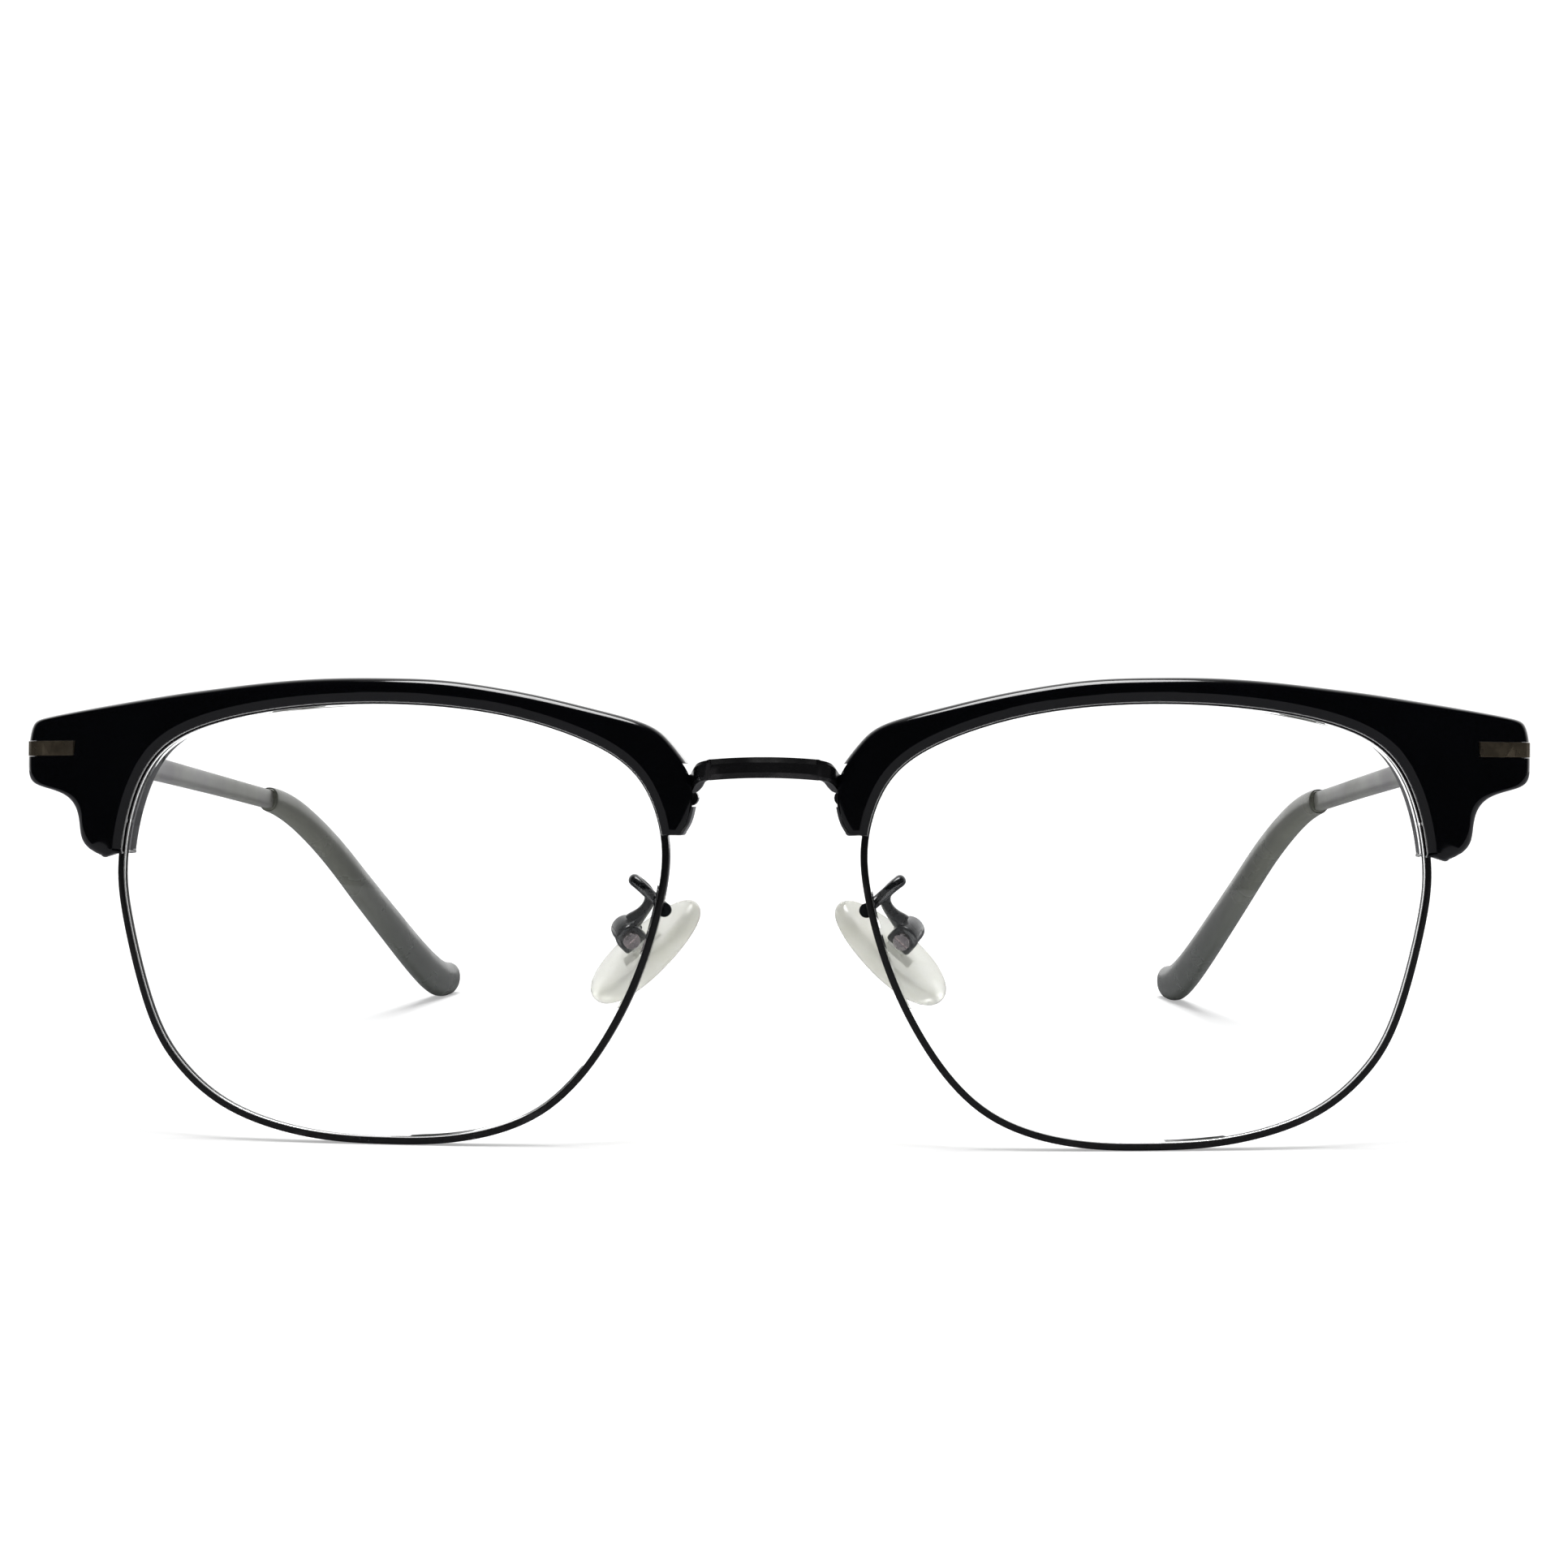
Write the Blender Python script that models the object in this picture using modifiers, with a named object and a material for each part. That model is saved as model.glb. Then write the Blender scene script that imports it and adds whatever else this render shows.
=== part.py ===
"""Half rim (browline) eyeglasses: an acetate brow over each metal eyewire, open temples, nose pads.

The frame stands on its rim bottoms and temple tips. X is across the face, -Y is the front, Z is up, and
the origin is the centre of the footprint on the ground. Pieces are drawn for the +X side and mirrored.
Lengths below are in millimetres; a point is (u, y, z), with u the distance from the middle of the bridge.
"""
import math

import bmesh
import bpy
import numpy as np
from mathutils import Matrix, Vector

MM = 0.001
DEPTH_TO_ORIGIN = 75.53     # from the middle of the front surface back to the centre of the footprint

# the face of the frame: each lens bulges by its base curve, and the whole front wraps back a little
LENS_CENTRE = (35.0, 20.5)
BASE_CURVE_RADIUS = 145.0
WRAP_RADIUS = 450.0

# lens opening, anticlockwise from the temple side, as (u, z)
OPENING = [(60.1, 20.5), (60.7, 25.6), (60.0, 30.5), (57.8, 35.3), (53.15, 38.3), (45.05, 40.0), (35.0, 40.5),
           (25.0, 39.6), (17.0, 37.3), (11.8, 33.9), (9.6, 28.8), (9.7, 23.5), (11.65, 16.4), (15.3, 9.15),
           (20.7, 3.45), (28.0, 1.0), (35.0, 0.66), (42.1, 1.1), (49.65, 3.25), (54.75, 7.1), (57.8, 12.3)]
STEPS_PER_POINT = 3

# eyewire: a channel around the lens, with a V groove; depths run back from the front surface
WIRE_RADIAL = 0.66
WIRE_DEPTHS = (1.15, 2.75)
GROOVE_DEPTH = 0.32
GROOVE_HALF = 0.56
LENS_EDGE_GAP = 0.10
LENS_EDGE_DEPTHS = (1.27, 2.63)
LENS_BEVEL = 0.25

# brow: (place along OPENING, outer edge u, outer edge z), from the nose, over the top, to the drop
BROW_STATIONS = [(10.10, 7.6, 28.45), (9.85, 6.85, 29.7), (9.60, 6.45, 31.6), (9.30, 6.5, 33.6),
                 (9.05, 7.3, 35.2), (8.85, 8.8, 37.1), (8.55, 11.0, 38.7), (8.10, 15.5, 40.0),
                 (7.50, 20.5, 41.2), (7.00, 25.3, 42.1), (6.50, 30.0, 42.7), (6.00, 35.0, 42.9),
                 (5.50, 40.5, 42.9), (5.00, 46.0, 42.6), (4.50, 51.0, 42.1), (4.00, 55.5, 41.6),
                 (3.60, 60.0, 41.0), (3.30, 65.0, 40.3), (3.10, 69.5, 39.6), (3.00, 71.2, 38.9),
                 (2.90, 71.6, 37.2), (2.80, 71.6, 35.2), (2.70, 71.15, 33.5), (2.60, 69.4, 32.75),
                 (2.45, 67.3, 32.1), (2.25, 66.0, 30.95), (2.00, 65.5, 29.4), (1.70, 65.15, 27.9),
                 (1.45, 64.1, 26.85), (1.20, 62.6, 26.25)]
BROW_THICKNESS = 4.0
LIP_INSET = 0.15            # the lips stand this far outside the eyewire's inner face
SLOT_DEPTH = 0.80
SLOT_DEPTHS = (1.05, 2.85)

# flat back of the end piece, where the hinge sits: its y at one u and z, and how it leans
END_BACK_Y = 14.6
END_BACK_U = 66.0
END_BACK_SLOPE_U = 0.37
TEMPLE_SLOPE = 0.097        # the temples run down to the rear by this much
END_BACK_Z = 36.5
END_BLEND = (48.0, 60.0)

# temple hinge
HINGE_AXIS_U = 65.2
HINGE_AXIS_Y = 15.9
HINGE_AXIS_Z = 36.46
KNUCKLE_RADIUS = 1.3
KNUCKLE_HEIGHT = 1.5
KNUCKLE_GAP = 0.08
LEAF_THICKNESS = 0.75
HINGE_PIN_RADIUS = 0.55
RUNNING_FIT = 0.06

# studs that anchor the end hinge in the acetate: across the leaf and above and below its middle
STUD_RADIUS = 0.6
STUD_ACROSS = -3.4
STUD_Z = 1.4

# temple: centre line as (y, z), with the height and thickness of its parts there
TEMPLE_U_FRONT = 67.5
TEMPLE_TOE_IN = 0.0704
SHAFT = [(15.6, 5.4, 1.60), (19.0, 5.6, 1.60), (23.0, 5.2, 1.55), (27.0, 4.0, 1.50), (31.0, 2.7, 1.40),
         (36.0, 2.4, 1.35), (50.0, 2.3, 1.30), (64.4, 2.3, 1.30)]
TAIL = [(64.8, 1.4, 1.00), (76.0, 1.4, 1.00), (88.0, 1.4, 1.00), (100.0, 1.4, 1.00), (114.0, 1.4, 1.00),
        (128.0, 1.3, 0.95)]
SLEEVE = [(64.9, 2.9, 2.3), (67.0, 3.1, 2.6), (76.0, 3.5, 2.8), (88.0, 3.9, 3.0), (100.0, 4.4, 3.1),
          (114.0, 5.0, 3.3), (128.0, 5.6, 3.4), (138.0, 5.8, 3.5), (144.0, 5.3, 3.4), (147.5, 4.0, 2.8),
          (149.3, 2.0, 1.6)]
SLEEVE_CLEARANCE = 0.12
MITRE_GAP = 0.25            # between the temple's front end and the end piece
CENTRE_LINE = [(15.6, 36.48), (36.0, 34.5), (50.0, 33.15), (62.0, 31.95), (68.0, 31.25), (76.0, 29.3),
               (88.0, 24.9), (100.0, 19.5), (114.0, 13.2), (128.0, 7.1), (138.0, 3.5), (144.0, 2.59),
               (149.3, 2.6)]

# bridge bar: its centre line as (u, y, z), half of it; the rest is its mirror image
BRIDGE = [(4.9, 2.25, 34.45), (5.6, 2.6, 34.25), (6.05, 3.5, 33.85), (6.4, 4.5, 33.4), (7.3, 4.8, 33.0),
          (9.4, 5.2, 32.45)]
BRIDGE_HEIGHT = 1.9
BRIDGE_DEPTH = 1.1

# nose pad: centre, direction of its long axis across the front view, and how far it is splayed
PAD_CENTRE = (11.45, 10.5, 17.3)
PAD_LONG_ANGLE = -42.0
PAD_SPLAY = 28.0
PAD_SIZE = (13.2, 7.4, 2.4)
PAD_BOX_OFFSET = 2.9
PAD_ARM_WIRE = 1.04
# pad arm: where it leaves the eyewire (u, z), then points of its centre line (u, y, z)
PAD_ARM = [(9.3, 21.6), (10.3, 7.35, 22.4), (11.3, 7.75, 23.25), (12.0, 8.0, 23.85), (12.45, 8.62, 24.2),
           (12.0, 9.24, 23.85), (11.35, 9.5, 23.2), (11.1, 9.45, 22.5), (11.35, 9.2, 21.7)]
PAD_ARM_ENTRY = -0.55       # where it meets the pad box, off the box's middle and away from the pad
PAD_SCREW_RADIUS = 0.5
PAD_BOX = (1.3, 1.3, 1.5)       # half sizes: along the pad, away from the pad, across the pad
PAD_SLOT_HALF = 0.72
CORE_HALF = (0.9, 0.62)         # along the pad, across the pad

LOCK_Z = 29.6               # where the eyewire is split and closed by the rim lock
LOCK_HALF_GAP = 0.15
LOCK_SCREW = (2.35, 2.45)   # out of the lens and back, from the split

# metal bar let into the front of the end piece and round its corner, with two posts behind it
INLAY_Z = 36.55
INLAY_HEIGHT = 1.4
INLAY_DEPTH = 0.6
INLAY_PROUD = 0.05
INLAY_GAP = 0.06
INLAY_U = (66.2, 71.6)
INLAY_REACH_BACK = 3.0
POST_U = (67.4, 69.6)
POST_RADIUS = 0.5
POST_DEPTH = 2.6

# tab behind the brow's nose end, and the screw through it: (u, y under the head, z)
BROW_SCREW = (8.2, 8.15, 30.1)
BROW_SCREW_RADIUS = 0.5
LUG_FOOT_Y = 5.75
LUG_THICKNESS = 0.75

CREASE_ANGLE = math.radians(35.0)


def front_y(u, z):
    """Depth of the frame's front surface."""
    across = u - LENS_CENTRE[0]
    up = z - LENS_CENTRE[1]
    return u * u / (2.0 * WRAP_RADIUS) + (across * across + up * up) / (2.0 * BASE_CURVE_RADIUS)


def end_back_y(u, z):
    """Depth of the flat back of the end piece."""
    return END_BACK_Y + END_BACK_SLOPE_U * (u - END_BACK_U) + TEMPLE_SLOPE * (z - END_BACK_Z)


def back_y(u, z):
    """Depth of the brow's back, which turns into the end piece's flat back towards the temple."""
    share = min(max((u - END_BLEND[0]) / (END_BLEND[1] - END_BLEND[0]), 0.0), 1.0)
    share = share * share * (3.0 - 2.0 * share)
    return (1.0 - share) * (front_y(u, z) + BROW_THICKNESS) + share * end_back_y(u, z)


def place(u, y, z):
    """A point of the object, in metres, about its origin."""
    return Vector((u, y - DEPTH_TO_ORIGIN, z)) * MM


def ring_spline(points, closed):
    """A smooth curve through the points: a function of the place along them, 0 to len(points)."""
    knots = np.array(points, dtype=float)
    count = len(knots)
    system = np.zeros((count, count))
    right = np.zeros_like(knots)
    for i in range(count):
        before, after = i - 1, (i + 1) % count
        if not closed and i in (0, count - 1):
            system[i, i] = 1.0
            continue
        system[i, before] += 1.0
        system[i, i] += 4.0
        system[i, after] += 1.0
        right[i] = 6.0 * (knots[after] - 2.0 * knots[i] + knots[before])
    bend = np.linalg.solve(system, right)

    def at(place_along):
        if closed:
            place_along = place_along % count
            i = int(place_along)
        else:
            i = min(max(int(place_along), 0), count - 2)
        j = (i + 1) % count
        s = place_along - i
        r = 1.0 - s
        return (r * knots[i] + s * knots[j]
                + (r ** 3 - r) * bend[i] / 6.0 + (s ** 3 - s) * bend[j] / 6.0)
    return at


opening = ring_spline(OPENING, True)


def opening_frame(place_along):
    """A point of the lens opening and the direction out of the lens there."""
    point = opening(place_along)
    ahead = opening(place_along + 0.01) - opening(place_along - 0.01)
    ahead /= np.linalg.norm(ahead)
    return point, np.array((ahead[1], -ahead[0]))


def opening_place_at(z):
    """The place along the temple side of the opening that lies at height z."""
    low, high = 0.0, 3.0
    for _ in range(40):
        middle = (low + high) / 2.0
        if opening(middle)[1] < z:
            low = middle
        else:
            high = middle
    return (low + high) / 2.0


# ---- scene helpers -------------------------------------------------------------------------------

def clear_scene():
    for item in list(bpy.data.objects):
        bpy.data.objects.remove(item, do_unlink=True)


def new_collection(name):
    collection = bpy.data.collections.new(name)
    bpy.context.scene.collection.children.link(collection)
    return collection


def new_material(name, colour, roughness, metallic=0.0, alpha=1.0):
    material = bpy.data.materials.new(name)
    material.use_nodes = True
    shader = material.node_tree.nodes["Principled BSDF"]
    shader.inputs["Base Color"].default_value = (*colour, 1.0)
    shader.inputs["Roughness"].default_value = roughness
    shader.inputs["Metallic"].default_value = metallic
    shader.inputs["Alpha"].default_value = alpha
    material.diffuse_color = (*colour, alpha)
    return material


def add_object(name, mesh, collection, material=None):
    item = bpy.data.objects.new(name, mesh)
    collection.objects.link(item)
    if material is not None:
        mesh.materials.append(material)
    return item


def mesh_from(bm, name):
    bmesh.ops.recalc_face_normals(bm, faces=bm.faces)
    mesh = bpy.data.meshes.new(name)
    bm.to_mesh(mesh)
    bm.free()
    mesh.shade_smooth()
    mesh.set_sharp_from_angle(angle=CREASE_ANGLE)
    return mesh


def loft(name, rings, cyclic=False, poles=(None, None)):
    """A closed skin over rings of equal length; its ends are flat caps, or fans to the poles."""
    bm = bmesh.new()
    rows = [[bm.verts.new(point) for point in ring] for ring in rings]
    count = len(rows[0])
    pairs = list(zip(rows, rows[1:]))
    if cyclic:
        pairs.append((rows[-1], rows[0]))
    for one, two in pairs:
        for i in range(count):
            j = (i + 1) % count
            bm.faces.new((one[i], one[j], two[j], two[i]))
    if not cyclic:
        for row, pole in ((rows[0], poles[0]), (rows[-1], poles[1])):
            if pole is None:
                bm.faces.new(row)
                continue
            tip = bm.verts.new(pole)
            for i in range(count):
                bm.faces.new((row[i], row[(i + 1) % count], tip))
    return mesh_from(bm, name)


def box_mesh(name, low, high, frame):
    """A box between two corners, in millimetres of the given frame."""
    bm = bmesh.new()
    size = [high[i] - low[i] for i in range(3)]
    middle = [(high[i] + low[i]) / 2.0 for i in range(3)]
    bmesh.ops.create_cube(bm, size=1.0)
    bmesh.ops.scale(bm, vec=Vector(size) * MM, verts=bm.verts)
    bmesh.ops.translate(bm, vec=Vector(middle) * MM, verts=bm.verts)
    bmesh.ops.transform(bm, matrix=frame, verts=bm.verts)
    return mesh_from(bm, name)


def slab_mesh(name, outline, low, high, frame):
    """A flat outline in the frame's second and third axes, drawn out along its first axis."""
    bm = bmesh.new()
    face = bm.faces.new([bm.verts.new(Vector((low, b, c)) * MM) for b, c in outline])
    drawn = bmesh.ops.extrude_face_region(bm, geom=[face])["geom"]
    moved = [item for item in drawn if isinstance(item, bmesh.types.BMVert)]
    bmesh.ops.translate(bm, vec=Vector((high - low, 0.0, 0.0)) * MM, verts=moved)
    bmesh.ops.transform(bm, matrix=frame, verts=bm.verts)
    return mesh_from(bm, name)


def rod_mesh(name, radius, start, end, frame, segments=16):
    """A round rod between two points, in millimetres of the given frame."""
    bm = bmesh.new()
    first, last = Vector(start) * MM, Vector(end) * MM
    along = last - first
    bmesh.ops.create_cone(bm, cap_ends=True, segments=segments, radius1=radius * MM, radius2=radius * MM,
                          depth=along.length)
    turn = Vector((0.0, 0.0, 1.0)).rotation_difference(along).to_matrix().to_4x4()
    move = Matrix.Translation((first + last) / 2.0)
    bmesh.ops.transform(bm, matrix=frame @ move @ turn, verts=bm.verts)
    return mesh_from(bm, name)


def apply_modifiers(item):
    """Replace an object's mesh by what its modifiers make of it."""
    bpy.context.view_layer.update()
    evaluated = item.evaluated_get(bpy.context.evaluated_depsgraph_get())
    mesh = bpy.data.meshes.new_from_object(evaluated)
    item.modifiers.clear()
    item.data = mesh
    mesh.shade_smooth()
    mesh.set_sharp_from_angle(angle=CREASE_ANGLE)


def combine(item, tools, operation):
    """Cut the item with each tool mesh, or join the tools to it."""
    for number, mesh in enumerate(tools):
        tool = add_object(f"{item.name}_{operation.lower()}_{number}", mesh, CUTTERS)
        tool.hide_render = True
        tool.display_type = 'WIRE'
        modifier = item.modifiers.new(tool.name, 'BOOLEAN')
        modifier.operation = operation
        modifier.solver = 'EXACT'
        modifier.object = tool
    apply_modifiers(item)
    return item


def cut(item, *tools):
    return combine(item, tools, 'DIFFERENCE')


def join(item, *tools):
    return combine(item, tools, 'UNION')


def round_edges(item, width, segments=2):
    modifier = item.modifiers.new("rounding", 'BEVEL')
    modifier.width = width * MM
    modifier.segments = segments
    modifier.limit_method = 'ANGLE'
    modifier.angle_limit = math.radians(40.0)
    apply_modifiers(item)
    return item


def mirrored(item, name):
    """The -X side's copy of a piece."""
    mesh = item.data.copy()
    mesh.name = name
    mesh.transform(Matrix.Scale(-1.0, 4, (1.0, 0.0, 0.0)))
    mesh.flip_normals()
    return add_object(name, mesh, PARTS)


def frame_at(origin, first, second, third):
    """A matrix with the given origin (millimetres of the object) and axes."""
    matrix = Matrix.Identity(4)
    for column, axis in enumerate((first, second, third)):
        matrix.col[column][:3] = axis
    matrix.translation = place(*origin)
    return matrix


WORLD = Matrix.Translation(place(0.0, 0.0, 0.0))


# ---- directions of the temple, its hinge and the pad ---------------------------------------------

def temple_frame():
    """Origin on the hinge axis; axes: out of the face, along the temple, up the hinge pin."""
    along = Vector((-TEMPLE_TOE_IN, 1.0, -TEMPLE_SLOPE)).normalized()
    up = Vector((0.0, TEMPLE_SLOPE, 1.0)).normalized()
    out = along.cross(up).normalized()
    along = up.cross(out)
    return frame_at((HINGE_AXIS_U, HINGE_AXIS_Y, HINGE_AXIS_Z), out, along, up)


def end_piece_frame():
    """Origin on the hinge axis; axes: across the flat back, straight back from it, up the hinge pin."""
    up = Vector((0.0, TEMPLE_SLOPE, 1.0)).normalized()
    back = Vector((-END_BACK_SLOPE_U, 1.0, -TEMPLE_SLOPE)).normalized()
    back = (back - back.dot(up) * up).normalized()
    return frame_at((HINGE_AXIS_U, HINGE_AXIS_Y, HINGE_AXIS_Z), back.cross(up), back, up)


def pad_frame():
    """Origin at the pad's centre; axes: along the pad, towards the nose, across the pad."""
    turn = math.radians(PAD_LONG_ANGLE)
    splay = math.radians(PAD_SPLAY)
    along = Vector((math.cos(turn), 0.0, math.sin(turn)))
    inward = Vector((math.sin(turn), 0.0, -math.cos(turn)))
    back = Vector((0.0, 1.0, 0.0))
    towards_nose = inward * math.cos(splay) + back * math.sin(splay)
    across = back * math.cos(splay) - inward * math.sin(splay)
    return frame_at(PAD_CENTRE, along, towards_nose, across)


# ---- eyewire, lens and rim lock ------------------------------------------------------------------

def opening_point(place_along, outward, depth):
    point, out = opening_frame(place_along)
    u, z = point + out * outward
    return place(u, front_y(u, z) + depth, z)


def build_eyewire():
    middle = (WIRE_DEPTHS[0] + WIRE_DEPTHS[1]) / 2.0
    section = [(0.0, WIRE_DEPTHS[0]), (WIRE_RADIAL, WIRE_DEPTHS[0]), (WIRE_RADIAL, WIRE_DEPTHS[1]),
               (0.0, WIRE_DEPTHS[1]), (0.0, middle + GROOVE_HALF), (GROOVE_DEPTH, middle),
               (0.0, middle - GROOVE_HALF)]
    count = len(OPENING)
    start = opening_place_at(LOCK_Z + LOCK_HALF_GAP)
    end = opening_place_at(LOCK_Z - LOCK_HALF_GAP) + count
    steps = [k / STEPS_PER_POINT for k in range(2 * count * STEPS_PER_POINT)]
    places = [start] + [s for s in steps if start + 0.1 < s < end - 0.1] + [end]
    rings = [[opening_point(p, a, d) for a, d in section] for p in places]
    return add_object("eyewire_right", loft("eyewire", rings), PARTS, METAL_BLACK)


def build_lens():
    middle = (LENS_EDGE_DEPTHS[0] + LENS_EDGE_DEPTHS[1]) / 2.0
    steps = [k / STEPS_PER_POINT for k in range(len(OPENING) * STEPS_PER_POINT)]
    edge = [opening_frame(p) for p in steps]

    def ring(outward, share, depth):
        points = []
        for point, out in edge:
            rim = point + out * outward
            u, z = np.array(LENS_CENTRE) * (1.0 - share) + rim * share
            points.append(place(u, front_y(u, z) + depth, z))
        return points
    front, back = LENS_EDGE_DEPTHS
    shares = (0.30, 0.62)
    rings = [ring(-LENS_EDGE_GAP, s, front) for s in shares]
    rings += [ring(-LENS_EDGE_GAP, 1.0, front), ring(LENS_BEVEL, 1.0, middle)]
    rings.append(ring(-LENS_EDGE_GAP, 1.0, back))
    rings += [ring(-LENS_EDGE_GAP, s, back) for s in reversed(shares)]
    u, z = LENS_CENTRE
    poles = (place(u, front_y(u, z) + front, z), place(u, front_y(u, z) + back, z))
    return add_object("lens_right", loft("lens", rings, poles=poles), PARTS, LENS_GLASS)


def lock_frame():
    """Origin on the eyewire's outer face at the split; axes: out of the lens, back, up."""
    u, z = opening(opening_place_at(LOCK_Z))
    return frame_at((u, front_y(u, z), LOCK_Z), (1.0, 0.0, 0.0), (0.0, 1.0, 0.0), (0.0, 0.0, 1.0))


def build_rim_lock():
    frame = lock_frame()
    gap = 0.05
    near, far = 1.2, 3.5
    out, back = LOCK_SCREW
    pieces = []
    for name, low, high in (("rim_lock_upper_right", LOCK_HALF_GAP, 1.95),
                            ("rim_lock_lower_right", -1.95, -LOCK_HALF_GAP)):
        mesh = box_mesh(name, (near, 1.75, low), (far, 3.2, high), frame)
        block = add_object(name, mesh, PARTS, METAL_BLACK)
        pieces.append(cut(block, rod_mesh("hole", 0.5 + gap, (out, back, -3.0), (out, back, 3.0), frame, 12)))
    shank = rod_mesh("shank", 0.5, (out, back, -2.2), (out, back, 1.9), frame, 12)
    screw = add_object("rim_lock_screw_right", shank, PARTS, METAL_STEEL)
    join(screw, rod_mesh("head", 0.85, (out, back, -2.6), (out, back, -2.02), frame, 12))
    cut(screw, box_mesh("slot", (out - 0.12, back - 1.5, -3.0), (out + 0.12, back + 1.5, -2.38), frame))
    return pieces + [screw]


# ---- brow ----------------------------------------------------------------------------------------

def brow_section(place_along, outer):
    inner, out = opening_frame(place_along)
    outer = np.array(outer)
    across = inner + out * 0.9 - outer
    width = np.linalg.norm(outer - inner)
    across /= np.linalg.norm(across)
    bevel = min(0.95, 0.45 * width)
    rounding = min(0.9, 0.42 * width)

    def near(a, depth, surface=front_y):
        u, z = inner + out * a
        return place(u, surface(u, z) + depth, z)

    def far(a, depth, surface=front_y):
        u, z = outer + across * a
        return place(u, surface(u, z) + depth, z)
    return [near(LIP_INSET, 0.45), near(bevel, 0.0), far(rounding, 0.0), far(0.26, 0.26), far(0.0, 0.9),
            far(0.0, -0.6, back_y), far(0.17, -0.17, back_y), far(0.6, 0.0, back_y), near(0.6, 0.0, back_y),
            near(LIP_INSET, -0.45, back_y), near(LIP_INSET, SLOT_DEPTHS[1]), near(SLOT_DEPTH, SLOT_DEPTHS[1]),
            near(SLOT_DEPTH, SLOT_DEPTHS[0]), near(LIP_INSET, SLOT_DEPTHS[0])]


def build_brow():
    path = ring_spline(BROW_STATIONS, False)
    halves = 2 * (len(BROW_STATIONS) - 1)
    rings = []
    for k in range(halves + 1):
        place_along, u, z = path(k / 2.0)
        rings.append(brow_section(place_along, (u, z)))
    brow = add_object("brow_right", loft("brow", rings), PARTS, ACETATE)
    lock = lock_frame()
    end = end_piece_frame()
    screw_u, screw_y, screw_z = BROW_SCREW
    tools = [
        # pocket for the rim lock, open to the back and below
        box_mesh("lock_pocket", (0.5, 1.5, -4.5), (3.9, 3.24, 2.3), lock),
        box_mesh("lock_mouth", (1.1, 2.6, -4.5), (3.9, 9.0, 2.3), lock),
        # rebate for the leg of the bridge and the lug behind it
        box_mesh("bridge_rebate", (5.0, front_y(8.0, 33.0) + 0.52, 31.1), (9.6, 12.0, 35.1), WORLD),
        # hole for the screw behind the nose end
        rod_mesh("brow_screw_hole", BROW_SCREW_RADIUS + 0.05, (screw_u, screw_y - 3.15, screw_z),
                 (screw_u, screw_y + 3.5, screw_z), WORLD, 12),
        # recess for the metal bar on the end piece
        inlay_solid("inlay_recess", INLAY_GAP),
    ]
    for z in (STUD_Z, -STUD_Z):
        tools.append(rod_mesh("stud_hole", STUD_RADIUS + 0.06, (STUD_ACROSS, -4.6, z),
                              (STUD_ACROSS, 0.0, z), end, 12))
    for u in POST_U:
        far_end = front_y(u, INLAY_Z) + POST_DEPTH + 0.1
        tools.append(rod_mesh("post_hole", POST_RADIUS + 0.06, (u, 5.0, INLAY_Z), (u, far_end, INLAY_Z),
                              WORLD, 12))
    return cut(brow, *tools)


# ---- metal bar let into the end piece ------------------------------------------------------------


def inlay_solid(name, grow):
    """The bar's shape, from its inner end, round the corner of the end piece, to its rear end."""
    start, corner = INLAY_U
    bend = 1.0
    path = []
    for u in np.linspace(start, corner - bend, 6):
        path.append((u, front_y(u, INLAY_Z), 0.0))
    corner_y = front_y(corner, INLAY_Z)
    lean = math.atan(2.0 * (front_y(corner, INLAY_Z) - front_y(corner - 0.5, INLAY_Z)))
    first_y = front_y(corner - bend, INLAY_Z)
    for k in range(1, 5):
        turn = math.radians(90.0 * k / 4.0)
        path.append((corner - bend + bend * math.sin(turn),
                     first_y + (corner_y + bend - first_y) * (1.0 - math.cos(turn)), turn))
    path.append((corner, corner_y + INLAY_REACH_BACK, math.pi / 2.0))
    rings = []
    outward = INLAY_PROUD + (0.6 if grow else 0.0)
    half = INLAY_HEIGHT / 2.0 + grow
    last = len(path) - 1
    for k, (u, y, turn) in enumerate(path):
        turn = max(turn, lean)
        out = np.array((math.sin(turn), -math.cos(turn)))
        along = np.array((math.cos(turn), math.sin(turn)))
        shift = -grow if k == 0 else (grow if k == last else 0.0)
        centre = np.array((u, y)) + along * shift
        outer, inner = centre + out * outward, centre - out * (INLAY_DEPTH + grow)
        rings.append([place(*outer, INLAY_Z - half), place(*outer, INLAY_Z + half),
                      place(*inner, INLAY_Z + half), place(*inner, INLAY_Z - half)])
    return loft(name, rings)


def build_inlay():
    bar = add_object("end_inlay_right", inlay_solid("end_inlay", 0.0), PARTS, METAL_BRONZE)
    posts = [rod_mesh(f"post_{i}", POST_RADIUS, (u, front_y(u, INLAY_Z) + 0.4, INLAY_Z),
                      (u, front_y(u, INLAY_Z) + POST_DEPTH, INLAY_Z), WORLD, 12)
             for i, u in enumerate(POST_U)]
    return join(bar, *posts)


# ---- bridge, lugs and brow screws ----------------------------------------------------------------


def build_bridge():
    stations = [(-u, y, z) for u, y, z in reversed(BRIDGE)] + BRIDGE
    high, deep, trim = BRIDGE_HEIGHT / 2.0, BRIDGE_DEPTH / 2.0, 0.25
    section = [(-deep, -high + trim), (-deep, high - trim), (-deep + trim, high), (deep - trim, high),
               (deep, high - trim), (deep, -high + trim), (deep - trim, -high), (-deep + trim, -high)]
    rings = []
    for k, (u, y, z) in enumerate(stations):
        before, after = stations[max(k - 1, 0)], stations[min(k + 1, len(stations) - 1)]
        turn = math.atan2(after[1] - before[1], after[0] - before[0])
        rings.append([place(u - d * math.sin(turn), y + d * math.cos(turn), z + h) for d, h in section])
    return add_object("bridge", loft("bridge", rings), PARTS, METAL_BLACK)


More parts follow.
